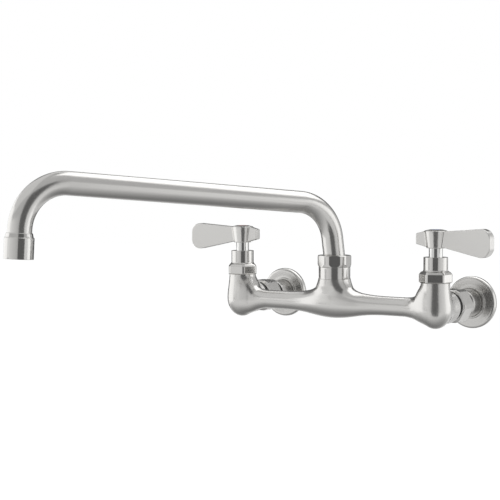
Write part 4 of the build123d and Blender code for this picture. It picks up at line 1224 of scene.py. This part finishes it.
# %% Fields of a lever
def blade_field(x, y, z):
    """The blade along +X, with round corners at its tip."""
    top = line_field(x, z, (0, BLADE_HIGH[0]), (BLADE_LENGTH, BLADE_HIGH[1]))
    low = -line_field(x, z, (0, BLADE_LOW[0]), (BLADE_LENGTH, BLADE_LOW[1]))
    rise = math.atan2(BLADE_HIGH[1] - BLADE_HIGH[0], BLADE_LENGTH)
    fall = math.atan2(BLADE_LOW[0] - BLADE_LOW[1], BLADE_LENGTH)
    tip = x - BLADE_LENGTH
    upper = round_corner(top, tip, BLADE_CORNER, -math.sin(rise))
    lower = round_corner(low, tip, BLADE_CORNER, -math.sin(fall))
    half = (BLADE_THICK[0] + (BLADE_THICK[1] - BLADE_THICK[0]) * x / BLADE_LENGTH) / 2
    return np.maximum(rounded_overlap(np.maximum(upper, lower), np.abs(y) - half, BLADE_EDGE), -x)


def tail_field(x, y, z):
    """The tapered tail along -X."""
    slope_above = -line_field(x, z, (-HUB_TOP_RADIUS, TAIL_HIGH[0]), (-TAIL_LENGTH, TAIL_HIGH[1]))
    slope_below = line_field(x, z, (-HUB_FOOT_RADIUS, TAIL_LOW[0]), (-TAIL_LENGTH, TAIL_LOW[1]))
    top = np.maximum(slope_above, z - TAIL_HIGH[0])
    low = np.maximum(slope_below, TAIL_LOW[0] - z)
    outline = rounded_overlap(np.maximum(top, low), -TAIL_LENGTH - x, TAIL_EDGE)
    return np.maximum(rounded_overlap(outline, np.abs(y) - TAIL_THICK / 2, TAIL_EDGE), x)


def lever_field(x, y, z):
    """The whole lever for the right valve, from the hub's foot up."""
    slope = (HUB_TOP_RADIUS - HUB_FOOT_RADIUS) / HUB_HEIGHT
    cone = np.hypot(x, y) - (HUB_FOOT_RADIUS + slope * z)
    hub = rounded_overlap(cone, np.abs(z - HUB_HEIGHT / 2) - HUB_HEIGHT / 2, HUB_EDGE)
    along = x * math.cos(BLADE_SWEEP) - y * math.sin(BLADE_SWEEP)
    across = x * math.sin(BLADE_SWEEP) + y * math.cos(BLADE_SWEEP)
    lever = soft_union(hub, blade_field(along, across, z), SEAM)
    return soft_union(lever, tail_field(x, y, z), SEAM)


print("metal in the hub's middle", round(float(-lever_field(0.0, 0.0, HUB_HEIGHT / 2)), 1), "mm deep")

# %% Pour and bore the levers
LEVER_GRID = 0.5
# bores from the foot up: for the stem, the screw's shank, its head and the cap; width, lowest, highest level
LEVER_BORES = [(8.5, HUB_FOOT - OVERRUN, 62.3), (5.0, 62.0, 64.0), (8.8, 63.9, 66.6), (19.1, 66.4, 70.0)]
LEVER_LOW, LEVER_HIGH = (-TAIL_LENGTH - 2, -14, -11), (BLADE_LENGTH + 3, 14, 21)        # with room round it
lever_points, lever_faces = surface_of(lever_field, LEVER_LOW, LEVER_HIGH, LEVER_GRID)
for side, sign in SIDES.items():
    points = lever_points * (sign, 1, 1) + (sign * VALVE_X, AXIS_Y, HUB_FOOT)
    faces = lever_faces if side == "right" else lever_faces[:, ::-1]
    lever = new_piece(f"{side}_cast_lever", points, faces)
    x = sign * VALVE_X
    for diameter, low, high in LEVER_BORES:
        combine(lever, bar(diameter, (x, AXIS_Y, low), (x, AXIS_Y, high)), "DIFFERENCE")
    smooth(lever, sharp_from=40)
    stand_in(lever, f"{side}_handle", f"{side}_lever")
print("lever faces", len(lever.data.polygons))

# %% [markdown]
# ## Outlet
# The aerator is a turned sleeve screwed on the tube's end, with a soft shoulder above it. It stands at the
# outlet's lean, so it is made upright at the mouth and then placed. Its screen is woven wire. One wave of
# wire could be copied by hand some thirty times, but Geometry Nodes place the wires in rows, cut each to
# the round mouth's width, wave them over and under, and turn a second layer across the first.

# %% Aerator housing
MOUTH_RADIUS, HOUSING_RADIUS, HOUSING_BORE, LIP = 8.75, 11.95, 9.9, 1.2
SHOULDER_TOP = 20.9
at_mouth = swing @ Matrix.Translation(mouth) @ Matrix.Rotation(-OUTLET_LEAN, 4, "Y")
mouth_turn = (0, -math.degrees(OUTLET_LEAN), math.degrees(SPOUT_TURN))
mouth_place = tuple(at_mouth.translation)
FINISH["aerator_housing"] = metal(
    "bright aerator", STEEL, 0.15, 0.03, "turned", 700.0, 0.012, mouth_place, mouth_turn,
)
HOUSING_OUTLINE = [
    (MOUTH_RADIUS, 0.0), (HOUSING_RADIUS, 0.0), (HOUSING_RADIUS, AERATOR_LENGTH - 0.35),
    (HOUSING_RADIUS - 0.45, AERATOR_LENGTH), (HOUSING_RADIUS - 0.7, AERATOR_LENGTH + 0.05),
    (HOUSING_RADIUS - 1.4, SHOULDER_TOP - 0.5), (HOUSING_RADIUS - 1.65, SHOULDER_TOP - 0.1),
    (HOUSING_BORE, SHOULDER_TOP), (HOUSING_BORE, LIP), (MOUTH_RADIUS, LIP),
]
housing = turned("turned_aerator", blank(HOUSING_OUTLINE, 0.3, 2.0), at_mouth)
stand_in(housing, "aerator_housing", "spout")
print("aerator faces", len(housing.data.polygons))


# %% Tree that weaves a round screen
WIRE_STEPS, RIM_STEPS, WIRE_SIDES = 65, 96, 8


def build_screen_tree():
    """Geometry nodes: two layers of waved wires, cut to a circle, in a round rim."""
    tree, source = new_tree("woven screen", {"Wires": WHOLE, "Reach": FLOAT, "Wire radius": FLOAT})
    new, link = tree.nodes.new, tree.links.new
    reach, wire = source.outputs["Reach"], source.outputs["Wire radius"]
    pitch = math_node(tree, "DIVIDE", math_node(tree, "MULTIPLY", reach, 2.0), source.outputs["Wires"])
    first = math_node(tree, "SUBTRACT", math_node(tree, "MULTIPLY", pitch, 0.5), reach)
    row = new("GeometryNodeMeshLine")
    link(source.outputs["Wires"], row.inputs["Count"])
    link(vector_node(tree, x=first), row.inputs["Start Location"])
    link(vector_node(tree, x=pitch), row.inputs["Offset"])

    unit = new("GeometryNodeCurvePrimitiveLine")
    unit.inputs["Start"].default_value = (0, -1, 0)
    unit.inputs["End"].default_value = (0, 1, 0)
    fine = new("GeometryNodeResampleCurve")
    fine.inputs["Count"].default_value = WIRE_STEPS
    link(unit.outputs["Curve"], fine.inputs["Curve"])
    place, split = new("GeometryNodeInputPosition"), new("ShaderNodeSeparateXYZ")
    link(place.outputs["Position"], split.inputs[0])
    square = math_node(tree, "MULTIPLY", split.outputs["X"], split.outputs["X"])
    room = math_node(tree, "SUBTRACT", math_node(tree, "MULTIPLY", reach, reach), square)
    wires = new("GeometryNodeInstanceOnPoints")
    link(row.outputs["Mesh"], wires.inputs["Points"])
    link(fine.outputs["Curve"], wires.inputs["Instance"])
    link(vector_node(tree, 1.0, math_node(tree, "SQRT", room), 1.0), wires.inputs["Scale"])
    loose = new("GeometryNodeRealizeInstances")
    link(wires.outputs["Instances"], loose.inputs["Geometry"])

    steps = math_node(tree, "DIVIDE", math_node(tree, "ADD", split.outputs["X"], split.outputs["Y"]), pitch)
    wave = math_node(tree, "COSINE", math_node(tree, "MULTIPLY", steps, math.pi))
    woven = new("GeometryNodeSetPosition")
    link(loose.outputs["Geometry"], woven.inputs["Geometry"])
    link(vector_node(tree, z=math_node(tree, "MULTIPLY", wave, wire)), woven.inputs["Offset"])
    rim = new("GeometryNodeCurvePrimitiveCircle")
    rim.inputs["Resolution"].default_value = RIM_STEPS
    link(reach, rim.inputs["Radius"])
    parts = new("GeometryNodeJoinGeometry")
    across = new("GeometryNodeTransform")
    across.inputs["Rotation"].default_value = (0, 0, math.pi / 2)
    link(woven.outputs["Geometry"], across.inputs["Geometry"])
    for piece in (woven.outputs["Geometry"], across.outputs["Geometry"], rim.outputs["Curve"]):
        link(piece, parts.inputs["Geometry"])
    round_wire = new("GeometryNodeCurvePrimitiveCircle")
    round_wire.inputs["Resolution"].default_value = WIRE_SIDES
    link(wire, round_wire.inputs["Radius"])
    skin = new("GeometryNodeCurveToMesh")
    skin.inputs["Fill Caps"].default_value = True
    link(parts.outputs["Geometry"], skin.inputs["Curve"])
    link(round_wire.outputs["Curve"], skin.inputs["Profile Curve"])
    return end_tree(tree, source, skin.outputs["Mesh"])


# %% Weave the screen
WIRE_COUNT, WIRE_RADIUS, SCREEN_THICKNESS = 16, 0.12, 0.5
screen = new_piece("woven_outlet_screen", [(0, 0, 0)], [])
weave = screen.modifiers.new("woven screen", "NODES")
weave.node_group = build_screen_tree()
screen_reach = (HOUSING_BORE - 2 * WIRE_RADIUS) * MM
set_inputs(weave, Wires=WIRE_COUNT, Reach=screen_reach, Wire_radius=WIRE_RADIUS * MM, Finish=SCREEN)
baked(screen)
seat = Matrix.Translation((0, 0, LIP + SCREEN_THICKNESS / 2))
in_metres = Matrix.Scale(MM, 4) @ at_mouth @ seat @ Matrix.Scale(1 / MM, 4)
screen.data.transform(in_metres)
facing_out(screen)
smooth(screen, sharp_from=60)
stand_in(screen, "outlet_screen", "spout")
print("screen faces", len(screen.data.polygons))

# %% [markdown]
# ## Pieces that stay as they are
# Seals, discs, stems and caps have plain forms. They could be modelled again with softer edges, but they are
# small or hidden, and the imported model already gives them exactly, so they only get their finishes.

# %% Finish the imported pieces
kept_nodes = [node for node in FINISH if node not in STOOD_FOR]
for node in kept_nodes:
    mesh = nodes[node].data
    mesh.materials.clear()
    mesh.materials.append(FINISH[node])
print(len(STOOD_FOR), "stood for,", len(kept_nodes), "kept")
print("without a finish:", sorted(nodes.keys() - FINISH.keys()))
